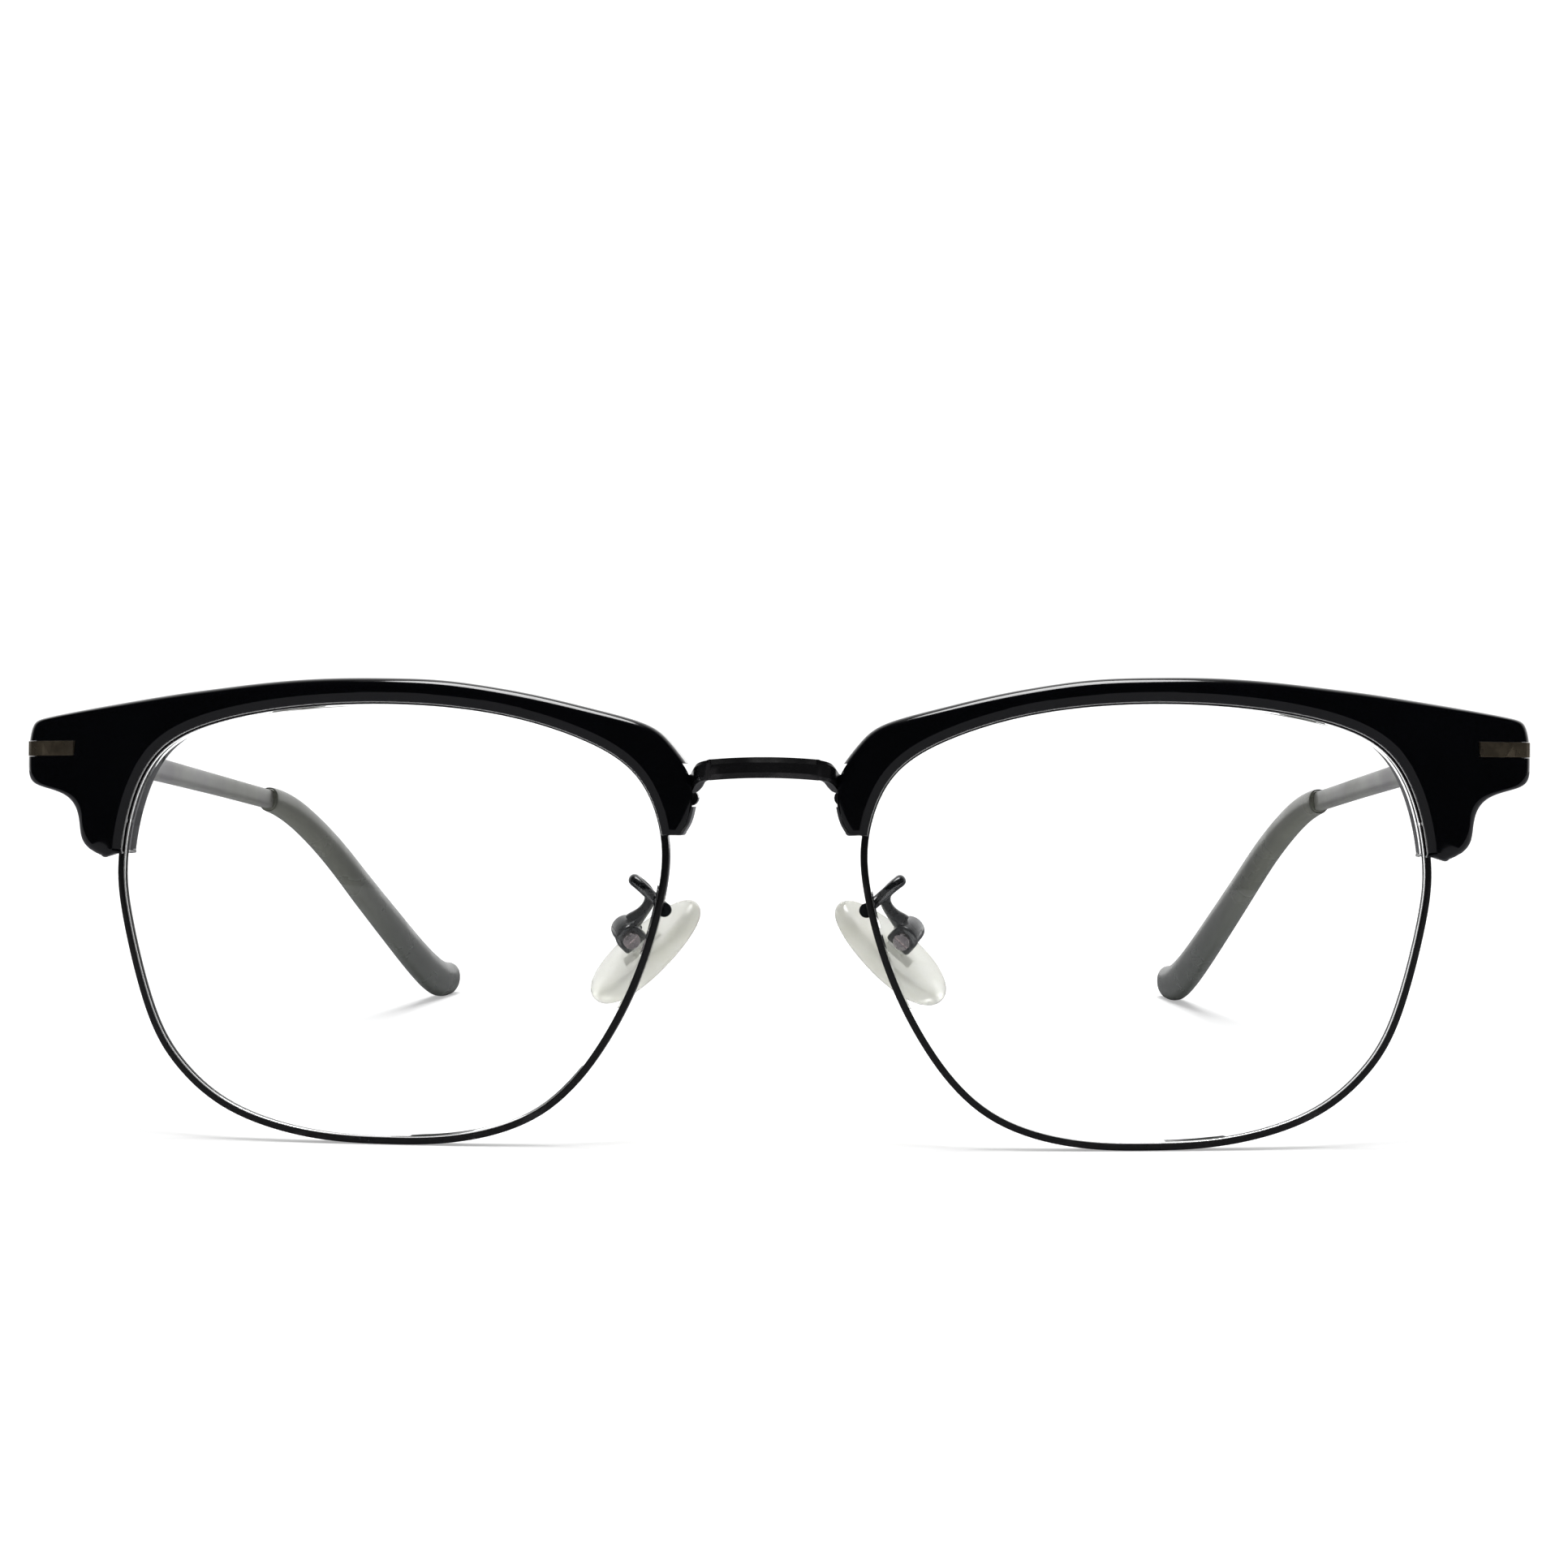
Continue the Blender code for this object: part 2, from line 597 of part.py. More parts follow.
def build_lug():
    """A tab behind the bridge's leg, folded down over the brow's back, where a screw holds the brow."""
    head_y = BROW_SCREW[1]
    plate = head_y - LUG_THICKNESS
    frame = WORLD
    lug = add_object("brow_lug_right", box_mesh("lug", (7.35, plate, 29.1), (9.3, head_y, 34.1), frame),
                     PARTS, METAL_BLACK)
    join(lug, box_mesh("foot", (7.0, LUG_FOOT_Y, 32.2), (8.6, plate + 0.3, 34.0), frame),
         rod_mesh("nub", 0.75, (7.05, plate - 1.0, 31.93), (7.05, plate + 0.5, 31.93), frame))
    round_edges(lug, 0.2, 1)
    return cut(lug, rod_mesh("hole", BROW_SCREW_RADIUS + 0.06, (BROW_SCREW[0], plate - 2.0, BROW_SCREW[2]),
                             (BROW_SCREW[0], head_y + 2.0, BROW_SCREW[2]), frame, 12))


def build_brow_screw():
    u, y, z = BROW_SCREW
    screw = add_object("brow_screw_right",
                       rod_mesh("shank", BROW_SCREW_RADIUS, (u, y - 2.5, z), (u, y + 0.3, z), WORLD, 12),
                       PARTS, METAL_STEEL)
    join(screw, rod_mesh("head", 0.85, (u, y + 0.05, z), (u, y + 0.6, z), WORLD, 16))
    return cut(screw, box_mesh("slot", (u - 1.5, y + 0.35, z - 0.12), (u + 1.5, y + 1.0, z + 0.12), WORLD))


# ---- nose pad assembly ---------------------------------------------------------------------------

def pad_box_frame():
    frame = pad_frame()
    return frame @ Matrix.Translation(Vector((0.0, -PAD_BOX_OFFSET, 0.0)) * MM)


def tube_mesh(name, points, radius, segments=12):
    """A round wire along the points, with its rings carried smoothly from one to the next."""
    centres = [Vector(p) for p in points]
    last = len(centres) - 1
    side = None
    rings = []
    for k, centre in enumerate(centres):
        tangent = (centres[min(k + 1, last)] - centres[max(k - 1, 0)]).normalized()
        if side is None:
            side = tangent.orthogonal()
        side = (side - side.dot(tangent) * tangent).normalized()
        other = tangent.cross(side)
        rings.append([centre + (side * math.cos(a) + other * math.sin(a)) * radius * MM
                      for a in (2.0 * math.pi * i / segments for i in range(segments))])
    return loft(name, rings)


def build_pad_arm():
    """Wire from the eyewire's back up to a tight turn, back under itself and down to the pad box."""
    back = front_y(PAD_ARM[0][0] - 0.4, PAD_ARM[0][1]) + WIRE_DEPTHS[1] + 0.20
    start_u, start_z = PAD_ARM[0]
    box = pad_box_frame()
    route = [place(start_u, back, start_z), place(start_u + 0.02, back + 0.7, start_z + 0.05)]
    route += [place(*point) for point in PAD_ARM[1:]]
    route += [box @ (Vector((-PAD_BOX[0] - reach, PAD_ARM_ENTRY, 0.0)) * MM) for reach in (0.7, 0.12)]
    path = ring_spline([tuple(p) for p in route], False)
    count = 4 * (len(route) - 1)
    wire = tube_mesh("pad_arm", [path(k / 4.0) for k in range(count + 1)], PAD_ARM_WIRE / 2.0)
    return add_object("pad_arm_right", wire, PARTS, METAL_SLATE)


def build_pad_box():
    frame = pad_box_frame()
    a, b, c = PAD_BOX
    mesh = box_mesh("pad_box", (-a, -b, -c), (a, 1.1, c), frame)
    box = add_object("pad_box_right", mesh, PARTS, METAL_SLATE)
    round_edges(box, 0.35)
    return cut(box, box_mesh("slot", (-3.0, -0.75, -PAD_SLOT_HALF), (3.0, 3.0, PAD_SLOT_HALF), frame),
               rod_mesh("hole", PAD_SCREW_RADIUS + 0.05, (0.0, 0.0, -3.0), (0.0, 0.0, 3.0), frame, 12))


def build_pad_screw():
    frame = pad_box_frame()
    reach = PAD_BOX[2]
    screw = add_object("pad_screw_right", rod_mesh("shank", PAD_SCREW_RADIUS, (0.0, 0.0, -reach - 0.1),
                                                   (0.0, 0.0, reach + 0.15), frame, 12), PARTS, METAL_STEEL)
    join(screw, rod_mesh("head", 0.8, (0.0, 0.0, -reach - 0.5), (0.0, 0.0, -reach - 0.05), frame, 16))
    return cut(screw, box_mesh("slot", (-1.5, -0.1, -reach - 1.0), (1.5, 0.1, -reach - 0.28), frame))


def build_pad_core():
    """The stiff tab inside the pad that turns on the pad screw."""
    frame = pad_frame()
    along, across = CORE_HALF
    core = add_object("pad_core_right", box_mesh("tab", (-along, -PAD_BOX_OFFSET - 0.6, -across),
                                                 (along, 0.1, across), frame), PARTS, CORE_PLASTIC)
    join(core, box_mesh("plate", (-2.2, -0.45, -across), (2.2, 0.15, across), frame))
    centre = -PAD_BOX_OFFSET
    return cut(core, rod_mesh("hole", PAD_SCREW_RADIUS + RUNNING_FIT, (0.0, centre, -3.0), (0.0, centre, 3.0),
                              frame, 16))


def build_nose_pad():
    """A teardrop of soft silicone, domed towards the nose, with a slot at its back for the core."""
    frame = pad_frame()
    half_long, half_wide, thick = PAD_SIZE[0] / 2.0, PAD_SIZE[1] / 2.0, PAD_SIZE[2]
    levels = [(-0.50, 0.80), (-0.42, 0.93), (-0.20, 1.0), (0.10, 0.99), (0.32, 0.90), (0.45, 0.72),
              (0.5, 0.42)]
    segments = 24
    rings = []
    for height, share in levels:
        ring = []
        for k in range(segments):
            angle = 2.0 * math.pi * k / segments
            along = math.cos(angle)
            wide = half_wide * (1.0 + 0.16 * along)
            point = Vector((half_long * share * along, thick * height, wide * share * math.sin(angle)))
            ring.append(frame @ (point * MM))
        rings.append(ring)
    pad = add_object("nose_pad_right", loft("nose_pad", rings), PARTS, SILICONE)
    gap = 0.1
    along, across = CORE_HALF
    along, across = along + gap, across + gap
    return cut(pad, box_mesh("neck", (-along, -5.0, -across), (along, 0.0, across), frame),
               box_mesh("seat", (-2.2 - gap, -0.45 - gap, -across), (2.2 + gap, 0.15 + gap, across), frame))


# ---- temple and its hinge ------------------------------------------------------------------------


def knuckle(name, level, frame):
    """One barrel of the hinge: level -1, 0 or 1 up the pin."""
    pitch = KNUCKLE_HEIGHT + KNUCKLE_GAP
    low = level * pitch - KNUCKLE_HEIGHT / 2.0
    return rod_mesh(name, KNUCKLE_RADIUS, (0.0, 0.0, low), (0.0, 0.0, low + KNUCKLE_HEIGHT), frame, 20)


def level_box(name, level, low, high, frame):
    pitch = KNUCKLE_HEIGHT + KNUCKLE_GAP
    base = level * pitch - KNUCKLE_HEIGHT / 2.0
    return box_mesh(name, (*low, base), (*high, base + KNUCKLE_HEIGHT), frame)


def build_end_hinge():
    """Leaf let against the end piece's back, with two barrels and two anchor studs in the acetate."""
    frame = end_piece_frame()
    near = -1.42
    far = near + LEAF_THICKNESS
    mesh = box_mesh("leaf", (-5.6, near, -2.33), (-1.6, far, 2.33), frame)
    leaf = add_object("end_hinge_right", mesh, PARTS, METAL_SHAFT)
    tools = []
    for level in (-1, 1):
        tools.append(knuckle(f"barrel_{level}", level, frame))
        tools.append(level_box(f"arm_{level}", level, (-2.3, near + 0.04), (-0.2, far - 0.04), frame))
        tools.append(rod_mesh(f"stud_{level}", STUD_RADIUS, (STUD_ACROSS, -4.4, level * STUD_Z),
                              (STUD_ACROSS, near + 0.3, level * STUD_Z), frame, 12))
    join(leaf, *tools)
    hole = rod_mesh("pin_hole", HINGE_PIN_RADIUS + 0.05, (0.0, 0.0, -4.0), (0.0, 0.0, 4.0), frame, 16)
    return cut(leaf, hole)


def build_temple_hinge():
    """Leaf on the inner side of the temple, with the middle barrel."""
    frame = temple_frame()
    inner = 0.62
    outer = inner + LEAF_THICKNESS
    half = 2.1
    outline = [(1.75, half), (1.75, -half)]
    for k in range(13):
        angle = math.pi * (k / 12.0 - 0.5)
        outline.append((9.5 + half * math.cos(angle), half * math.sin(angle)))
    mesh = slab_mesh("leaf", outline, inner, outer, frame)
    leaf = add_object("temple_hinge_right", mesh, PARTS, METAL_SHAFT)
    arm = level_box("arm", 0, (inner + 0.04, 0.2), (outer - 0.04, 2.3), frame)
    join(leaf, knuckle("barrel", 0, frame), arm)
    return cut(leaf, rod_mesh("pin_hole", HINGE_PIN_RADIUS + RUNNING_FIT, (0.0, 0.0, -4.0), (0.0, 0.0, 4.0),
                              frame, 16))


def build_hinge_screw():
    frame = end_piece_frame()
    top = 1.5 * KNUCKLE_HEIGHT + KNUCKLE_GAP
    screw = add_object("hinge_screw_right", rod_mesh("shank", HINGE_PIN_RADIUS, (0.0, 0.0, -top - 0.2),
                                                     (0.0, 0.0, top + 0.2), frame, 16), PARTS, METAL_STEEL)
    join(screw, rod_mesh("head", 0.95, (0.0, 0.0, top + 0.05), (0.0, 0.0, top + 0.6), frame, 16))
    return cut(screw, box_mesh("slot", (-1.5, -0.12, top + 0.35), (1.5, 0.12, top + 1.5), frame))


def temple_ring(line, y, height, thickness, squareness, count=12):
    """A rounded cross-section of the temple, square to its centre line."""
    z = line(y)
    slope = (line(y + 0.5) - line(y - 0.5))
    along = Vector((-TEMPLE_TOE_IN, 1.0, slope)).normalized()
    out = Vector((1.0, TEMPLE_TOE_IN, 0.0)).normalized()
    up = out.cross(along).normalized()
    centre = Vector((TEMPLE_U_FRONT - TEMPLE_TOE_IN * (y - 15.0), y, z))
    ring = []
    for k in range(count):
        angle = 2.0 * math.pi * (k + 0.5) / count
        c, s = math.cos(angle), math.sin(angle)
        reach = (abs(c) ** squareness + abs(s) ** squareness) ** (-1.0 / squareness)
        point = centre + out * (thickness / 2.0 * reach * c) + up * (height / 2.0 * reach * s)
        ring.append(place(*point))
    return ring


def centre_line():
    """Height of the temple's centre line as a function of y."""
    ys = np.array([y for y, _ in CENTRE_LINE])
    curve = ring_spline(CENTRE_LINE, False)
    places = np.linspace(0.0, len(CENTRE_LINE) - 1.0, 400)
    samples = np.array([curve(p) for p in places])

    def at(y):
        if y < ys[0]:
            return CENTRE_LINE[0][1] + (ys[0] - y) * TEMPLE_SLOPE
        return float(np.interp(y, samples[:, 0], samples[:, 1]))
    return at


def sampled(stations, steps):
    """The stations (y, height, thickness), with steps - 1 smooth ones between each pair."""
    path = ring_spline(stations, False)
    count = (len(stations) - 1) * steps
    return [tuple(path(k / steps)) for k in range(count + 1)]


def build_temple_shaft():
    line = centre_line()
    rings = []
    for k, (y, height, thickness) in enumerate(SHAFT):
        ring = temple_ring(line, y, height, thickness, 5.0)
        if k == 0:
            # the front end is mitred to the end piece's back
            ends = [(p.x / MM, p.z / MM) for p in ring]
            ring = [place(u, end_back_y(u, z) + MITRE_GAP, z) for u, z in ends]
        rings.append(ring)
    rings += [temple_ring(line, y, height, thickness, 2.5) for y, height, thickness in sampled(TAIL, 2)]
    return add_object("temple_shaft_right", loft("temple_shaft", rings), PARTS, METAL_SHAFT)


def build_temple_tip():
    line = centre_line()
    extra = 2.0 * SLEEVE_CLEARANCE
    bore = sampled([(y, h + extra, t + extra) for y, h, t in TAIL], 2)
    bore = [(SLEEVE[0][0], *bore[0][1:])] + bore[1:-1] + [(TAIL[-1][0] + 0.4, *bore[-1][1:])]
    rings = [temple_ring(line, y, h, t, 2.5) for y, h, t in reversed(bore)]
    rings += [temple_ring(line, y, h, t, 2.3) for y, h, t in sampled(SLEEVE, 2)]
    return add_object("temple_tip_right", loft("temple_tip", rings), PARTS, TIP_PLASTIC)


# ---- assembly ------------------------------------------------------------------------------------

def pivot_empty(name, frame):
    empty = bpy.data.objects.new(name, None)
    empty.empty_display_size = 0.005
    empty.matrix_world = frame
    PARTS.objects.link(empty)
    return empty


def hang_on(empty, items):
    """Parent pieces to the empty on their joint's axis, without moving them."""
    bpy.context.view_layer.update()
    for item in items:
        item.parent = empty
        item.matrix_parent_inverse = empty.matrix_world.inverted()


def mirror_frame(frame):
    flip = Matrix.Scale(-1.0, 4, (1.0, 0.0, 0.0))
    return flip @ frame @ flip


def build_side():
    fixed = [build_eyewire(), build_lens(), *build_rim_lock(), build_brow(), build_inlay(), build_lug(),
             build_brow_screw(), build_pad_arm(), build_pad_box(), build_pad_screw(), build_end_hinge(),
             build_hinge_screw()]
    temple = [build_temple_hinge(), build_temple_shaft(), build_temple_tip()]
    pad = [build_nose_pad(), build_pad_core()]
    return fixed, temple, pad


clear_scene()
PARTS = new_collection("half_rim_eyeglasses")
CUTTERS = new_collection("cutters")
ACETATE = new_material("black_acetate", (0.006, 0.006, 0.008), 0.08)
METAL_BLACK = new_material("black_enamel", (0.012, 0.012, 0.013), 0.22)
METAL_SLATE = new_material("slate_metal", (0.02, 0.024, 0.027), 0.25, 0.8)
METAL_STEEL = new_material("bright_steel", (0.60, 0.56, 0.56), 0.25, 1.0)
METAL_BRONZE = new_material("bronze_bar", (0.07, 0.055, 0.035), 0.3, 0.9)
METAL_SHAFT = new_material("grey_painted_metal", (0.23, 0.23, 0.21), 0.35, 0.4)
TIP_PLASTIC = new_material("grey_plastic_tip", (0.09, 0.095, 0.08), 0.3)
SILICONE = new_material("clear_silicone", (0.85, 0.86, 0.80), 0.3, 0.0, 0.6)
CORE_PLASTIC = new_material("white_core", (0.80, 0.80, 0.76), 0.4)
LENS_GLASS = new_material("lens_glass", (0.95, 0.97, 0.98), 0.02, 0.0, 0.15)

build_bridge()
fixed_pieces, temple_pieces, pad_pieces = build_side()
for piece in list(fixed_pieces):
    mirrored(piece, piece.name.replace("right", "left"))
left_temple = [mirrored(piece, piece.name.replace("right", "left")) for piece in temple_pieces]
left_pad = [mirrored(piece, piece.name.replace("right", "left")) for piece in pad_pieces]
hang_on(pivot_empty("temple_pivot_right", temple_frame()), temple_pieces)
hang_on(pivot_empty("temple_pivot_left", mirror_frame(temple_frame())), left_temple)
hang_on(pivot_empty("pad_pivot_right", pad_box_frame()), pad_pieces)
hang_on(pivot_empty("pad_pivot_left", mirror_frame(pad_box_frame())), left_pad)
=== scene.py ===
"""Half rim (browline) eyeglasses: the finished look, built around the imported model.

X is across the face, -Y is the front and Z is up. The tables are in millimetres, as (u, y, z) with
u the distance from the middle of the bridge and y the depth behind the middle of the front; place()
turns them into the model's metres. Pieces are drawn for the +X side and mirrored.
"""
import math

import bmesh
import bpy
import numpy as np
from bpy.props import FloatProperty, FloatVectorProperty, IntProperty, PointerProperty
from mathutils import Matrix, Vector


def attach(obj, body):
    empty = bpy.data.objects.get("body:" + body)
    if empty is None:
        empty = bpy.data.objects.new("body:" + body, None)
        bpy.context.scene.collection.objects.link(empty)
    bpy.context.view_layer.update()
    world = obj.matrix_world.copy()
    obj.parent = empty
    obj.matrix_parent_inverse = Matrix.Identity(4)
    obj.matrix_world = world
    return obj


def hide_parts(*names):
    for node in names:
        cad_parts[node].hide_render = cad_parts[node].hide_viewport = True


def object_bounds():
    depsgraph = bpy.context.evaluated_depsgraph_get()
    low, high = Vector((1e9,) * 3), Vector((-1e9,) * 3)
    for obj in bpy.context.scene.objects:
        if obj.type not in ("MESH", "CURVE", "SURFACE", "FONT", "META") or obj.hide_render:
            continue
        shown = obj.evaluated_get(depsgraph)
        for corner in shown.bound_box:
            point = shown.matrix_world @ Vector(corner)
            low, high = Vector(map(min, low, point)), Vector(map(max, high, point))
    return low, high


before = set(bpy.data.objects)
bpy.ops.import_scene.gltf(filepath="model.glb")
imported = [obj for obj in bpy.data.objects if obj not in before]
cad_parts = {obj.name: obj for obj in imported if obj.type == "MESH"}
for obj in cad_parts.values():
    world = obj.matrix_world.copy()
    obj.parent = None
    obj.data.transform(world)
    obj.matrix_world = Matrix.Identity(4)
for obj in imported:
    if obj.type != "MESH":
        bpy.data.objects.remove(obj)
CAD_LOW, CAD_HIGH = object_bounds()

bl_info = {
    "name": "Half Rim Eyeglasses",
    "version": (1, 0, 0),
    "blender": (4, 5, 0),
    "location": "View3D > Sidebar > Eyeglasses",
    "description": "Builds browline eyeglasses with acetate brows, metal eyewires and folding temples",
    "category": "Object",
}

MM = 0.001
SIDES = ("right", "left")
FRONT_BODY = "front"
DEPTH_TO_ORIGIN = 75.53     # from the middle of the front surface back to the middle of the footprint

# the face of the frame: each lens bulges by its base curve, and the whole front wraps back a little
LENS_CENTRE = (35.0, 20.5)
BASE_CURVE_RADIUS = 145.0
WRAP_RADIUS = 450.0

# lens opening, anticlockwise from the temple side, as (u, z)
OPENING = [(60.1, 20.5), (60.7, 25.6), (60.0, 30.5), (57.8, 35.3), (53.15, 38.3), (45.05, 40.0), (35.0, 40.5),
           (25.0, 39.6), (17.0, 37.3), (11.8, 33.9), (9.6, 28.8), (9.7, 23.5), (11.65, 16.4), (15.3, 9.15),
           (20.7, 3.45), (28.0, 1.0), (35.0, 0.66), (42.1, 1.1), (49.65, 3.25), (54.75, 7.1), (57.8, 12.3)]

# eyewire and lens edge; depths run back from the front surface
WIRE_RADIAL = 0.66
WIRE_DEPTHS = (1.15, 2.75)
WIRE_ROUNDINGS = (0.16, 0.08)       # of the edges away from the lens and beside it
GROOVE_DEPTH = 0.32
GROOVE_HALF = 0.56
LENS_EDGE_GAP = 0.10
LENS_EDGE_DEPTHS = (1.27, 2.63)
LENS_BEVEL = 0.25

# brow: (place along OPENING, outer edge u, outer edge z), from the nose, over the top, to the drop
BROW_STATIONS = [(10.10, 7.6, 28.45), (9.85, 6.85, 29.7), (9.60, 6.45, 31.6), (9.30, 6.5, 33.6),
                 (9.05, 7.3, 35.2), (8.85, 8.8, 37.1), (8.55, 11.0, 38.7), (8.10, 15.5, 40.0),
                 (7.50, 20.5, 41.2), (7.00, 25.3, 42.1), (6.50, 30.0, 42.7), (6.00, 35.0, 42.9),
                 (5.50, 40.5, 42.9), (5.00, 46.0, 42.6), (4.50, 51.0, 42.1), (4.00, 55.5, 41.6),
                 (3.60, 60.0, 41.0), (3.30, 65.0, 40.3), (3.10, 69.5, 39.6), (3.00, 71.2, 38.9),
                 (2.90, 71.6, 37.2), (2.80, 71.6, 35.2), (2.70, 71.15, 33.5), (2.60, 69.4, 32.75),
                 (2.45, 67.3, 32.1), (2.25, 66.0, 30.95), (2.00, 65.5, 29.4), (1.70, 65.15, 27.9),
                 (1.45, 64.1, 26.85), (1.20, 62.6, 26.25)]
BROW_THICKNESS = 4.0
BROW_END_ROUNDING = 0.34
BROW_BEVEL = 0.95           # width of the bevel beside the lens, where the brow is broad enough for it
BROW_ROUNDING = 0.9         # rounding of the front's outer edge, likewise
LIP_INSET = 0.15            # the lips stand this far outside the eyewire's inner face
SLOT_DEPTH = 0.80
SLOT_DEPTHS = (1.05, 2.85)

# flat back of the end piece, where the hinge sits
END_BACK_Y = 14.6
END_BACK_U = 66.0
END_BACK_SLOPE_U = 0.37
TEMPLE_SLOPE = 0.097
END_BACK_Z = 36.5
END_BLEND = (48.0, 60.0)
HINGE_AXIS = (65.2, 15.9, 36.46)
STUD_RADIUS = 0.6
STUD_ACROSS = -3.4
STUD_Z = 1.4

# temple: centre line as (y, z), and (y, height, thickness) of its parts
TEMPLE_U_FRONT = 67.5
TEMPLE_TOE_IN = 0.0704
SHAFT = [(15.6, 5.4, 1.60), (19.0, 5.6, 1.60), (23.0, 5.2, 1.55), (27.0, 4.0, 1.50), (31.0, 2.7, 1.40),
         (36.0, 2.4, 1.35), (50.0, 2.3, 1.30), (64.4, 2.3, 1.30)]
SLEEVE = [(64.9, 2.9, 2.3), (67.0, 3.1, 2.6), (76.0, 3.5, 2.8), (88.0, 3.9, 3.0), (100.0, 4.4, 3.1),
          (114.0, 5.0, 3.3), (128.0, 5.6, 3.4), (138.0, 5.8, 3.5), (144.0, 5.3, 3.4)]
SLEEVE_END = 149.34
CENTRE_LINE = [(15.6, 36.48), (36.0, 34.5), (50.0, 33.15), (62.0, 31.95), (68.0, 31.25), (76.0, 29.3),
               (88.0, 24.9), (100.0, 19.5), (114.0, 13.2), (128.0, 7.1), (138.0, 3.5), (144.0, 2.59),
               (149.3, 2.6)]
MITRE_GAP = 0.25

# bridge bar: half of its centre line
BRIDGE = [(4.9, 2.25, 34.45), (5.6, 2.6, 34.25), (6.05, 3.5, 33.85), (6.4, 4.5, 33.4), (7.3, 4.8, 33.0),
          (9.4, 5.2, 32.45)]
BRIDGE_HEIGHT = 1.9
BRIDGE_DEPTH = 1.1
BRIDGE_ARCH = 0.22

# nose pad, its box and its arm
PAD_CENTRE = (11.45, 10.5, 17.3)
PAD_LONG_ANGLE = -42.0
PAD_SPLAY = 28.0
PAD_SIZE = (13.2, 7.4, 2.4)
# outline of the pad from its back to its dome: (share of the thickness, share of the width)
PAD_LEVELS = [(-0.50, 0.80), (-0.42, 0.93), (-0.20, 1.0), (0.10, 0.99), (0.32, 0.90), (0.45, 0.72),
              (0.5, 0.42)]
PAD_BOX_OFFSET = 2.9
PAD_BOX = (1.3, 1.3, 1.5)
PAD_SLOT_HALF = 0.72
PAD_SCREW_RADIUS = 0.5
PAD_ARM_WIRE = 1.04
PAD_ARM = [(9.3, 21.6), (10.3, 7.35, 22.4), (11.3, 7.75, 23.25), (12.0, 8.0, 23.85), (12.45, 8.62, 24.2),
           (12.0, 9.24, 23.85), (11.35, 9.5, 23.2), (11.1, 9.45, 22.5), (11.35, 9.2, 21.7)]
PAD_ARM_ENTRY = -0.55

# metal bar let into the end piece
INLAY_Z = 36.55
INLAY_HEIGHT = 1.4
INLAY_DEPTH = 0.6
INLAY_GAP = 0.06
INLAY_U = (66.2, 71.6)
INLAY_REACH_BACK = 3.0

# rim lock, and the pocket for it, open to the back and below, as corners from the split
LOCK_Z = 29.6
LOCK_HALF_GAP = 0.15
LOCK_POCKET = ((0.5, 1.5, -4.5), (3.9, 3.24, 2.3))
LOCK_MOUTH = ((1.1, 2.6, -4.5), (3.9, 9.0, 2.3))

# what is cut for the bridge's leg, and for the screw behind the nose end
REBATE_U = (5.0, 9.6)
REBATE_Z = (31.1, 35.1)
REBATE_WALL = 0.52          # of acetate left in front of it
BROW_SCREW = (8.2, 8.15, 30.1)
BROW_SCREW_HOLE = 0.55

# stage: the camera in metres and degrees
FLOOR_GAP = 0.02
KEY_ANGLE = 34.0
CAMERA_PLACE = (0.00868, -0.25409, 0.03181)
CAMERA_TURN = (90.435, -0.115, 2.172)


# ---- the shape of the frame ----------------------------------------------------------------------

def front_y(u, z):
    """Depth of the frame's front surface."""
    across = u - LENS_CENTRE[0]
    up = z - LENS_CENTRE[1]
    return u * u / (2.0 * WRAP_RADIUS) + (across * across + up * up) / (2.0 * BASE_CURVE_RADIUS)


def end_back_y(u, z):
    """Depth of the flat back of the end piece."""
    return END_BACK_Y + END_BACK_SLOPE_U * (u - END_BACK_U) + TEMPLE_SLOPE * (z - END_BACK_Z)


def back_y(u, z):
    """Depth of the brow's back, which turns into the end piece's flat back towards the temple."""
    share = min(max((u - END_BLEND[0]) / (END_BLEND[1] - END_BLEND[0]), 0.0), 1.0)
    share = share * share * (3.0 - 2.0 * share)
    return (1.0 - share) * (front_y(u, z) + BROW_THICKNESS) + share * end_back_y(u, z)


def place(u, y, z):
    """A point of the object, in the model's metres."""
    return Vector((u, y - DEPTH_TO_ORIGIN, z)) * MM


def ring_spline(points, closed):
    """A smooth curve through the points: a function of the place along them, 0 to len(points)."""
    knots = np.array(points, dtype=float)
    count = len(knots)
    system = np.zeros((count, count))
    right = np.zeros_like(knots)
    for i in range(count):
        before, after = i - 1, (i + 1) % count
        if not closed and i in (0, count - 1):
            system[i, i] = 1.0
            continue
        system[i, before] += 1.0
        system[i, i] += 4.0
        system[i, after] += 1.0
        right[i] = 6.0 * (knots[after] - 2.0 * knots[i] + knots[before])
    bend = np.linalg.solve(system, right)

    def at(place_along):
        if closed:
            place_along = place_along % count
            i = int(place_along)
        else:
            i = min(max(int(place_along), 0), count - 2)
        j = (i + 1) % count
        s = place_along - i
        r = 1.0 - s
        return (r * knots[i] + s * knots[j]
                + (r ** 3 - r) * bend[i] / 6.0 + (s ** 3 - s) * bend[j] / 6.0)
    return at


opening = ring_spline(OPENING, True)


def opening_frame(place_along):
    """A point of the lens opening and the direction out of the lens there."""
    point = opening(place_along)
    ahead = opening(place_along + 0.01) - opening(place_along - 0.01)
    ahead /= np.linalg.norm(ahead)
    return point, np.array((ahead[1], -ahead[0]))


def opening_place_at(z):
    """The place along the temple side of the opening that lies at height z."""
    low, high = 0.0, 3.0
    for _ in range(40):
        middle = (low + high) / 2.0
        if opening(middle)[1] < z:
            low = middle
        else:
            high = middle
    return (low + high) / 2.0


# ---- mesh tools ----------------------------------------------------------------------------------

CREASE_ANGLE = math.radians(38.0)


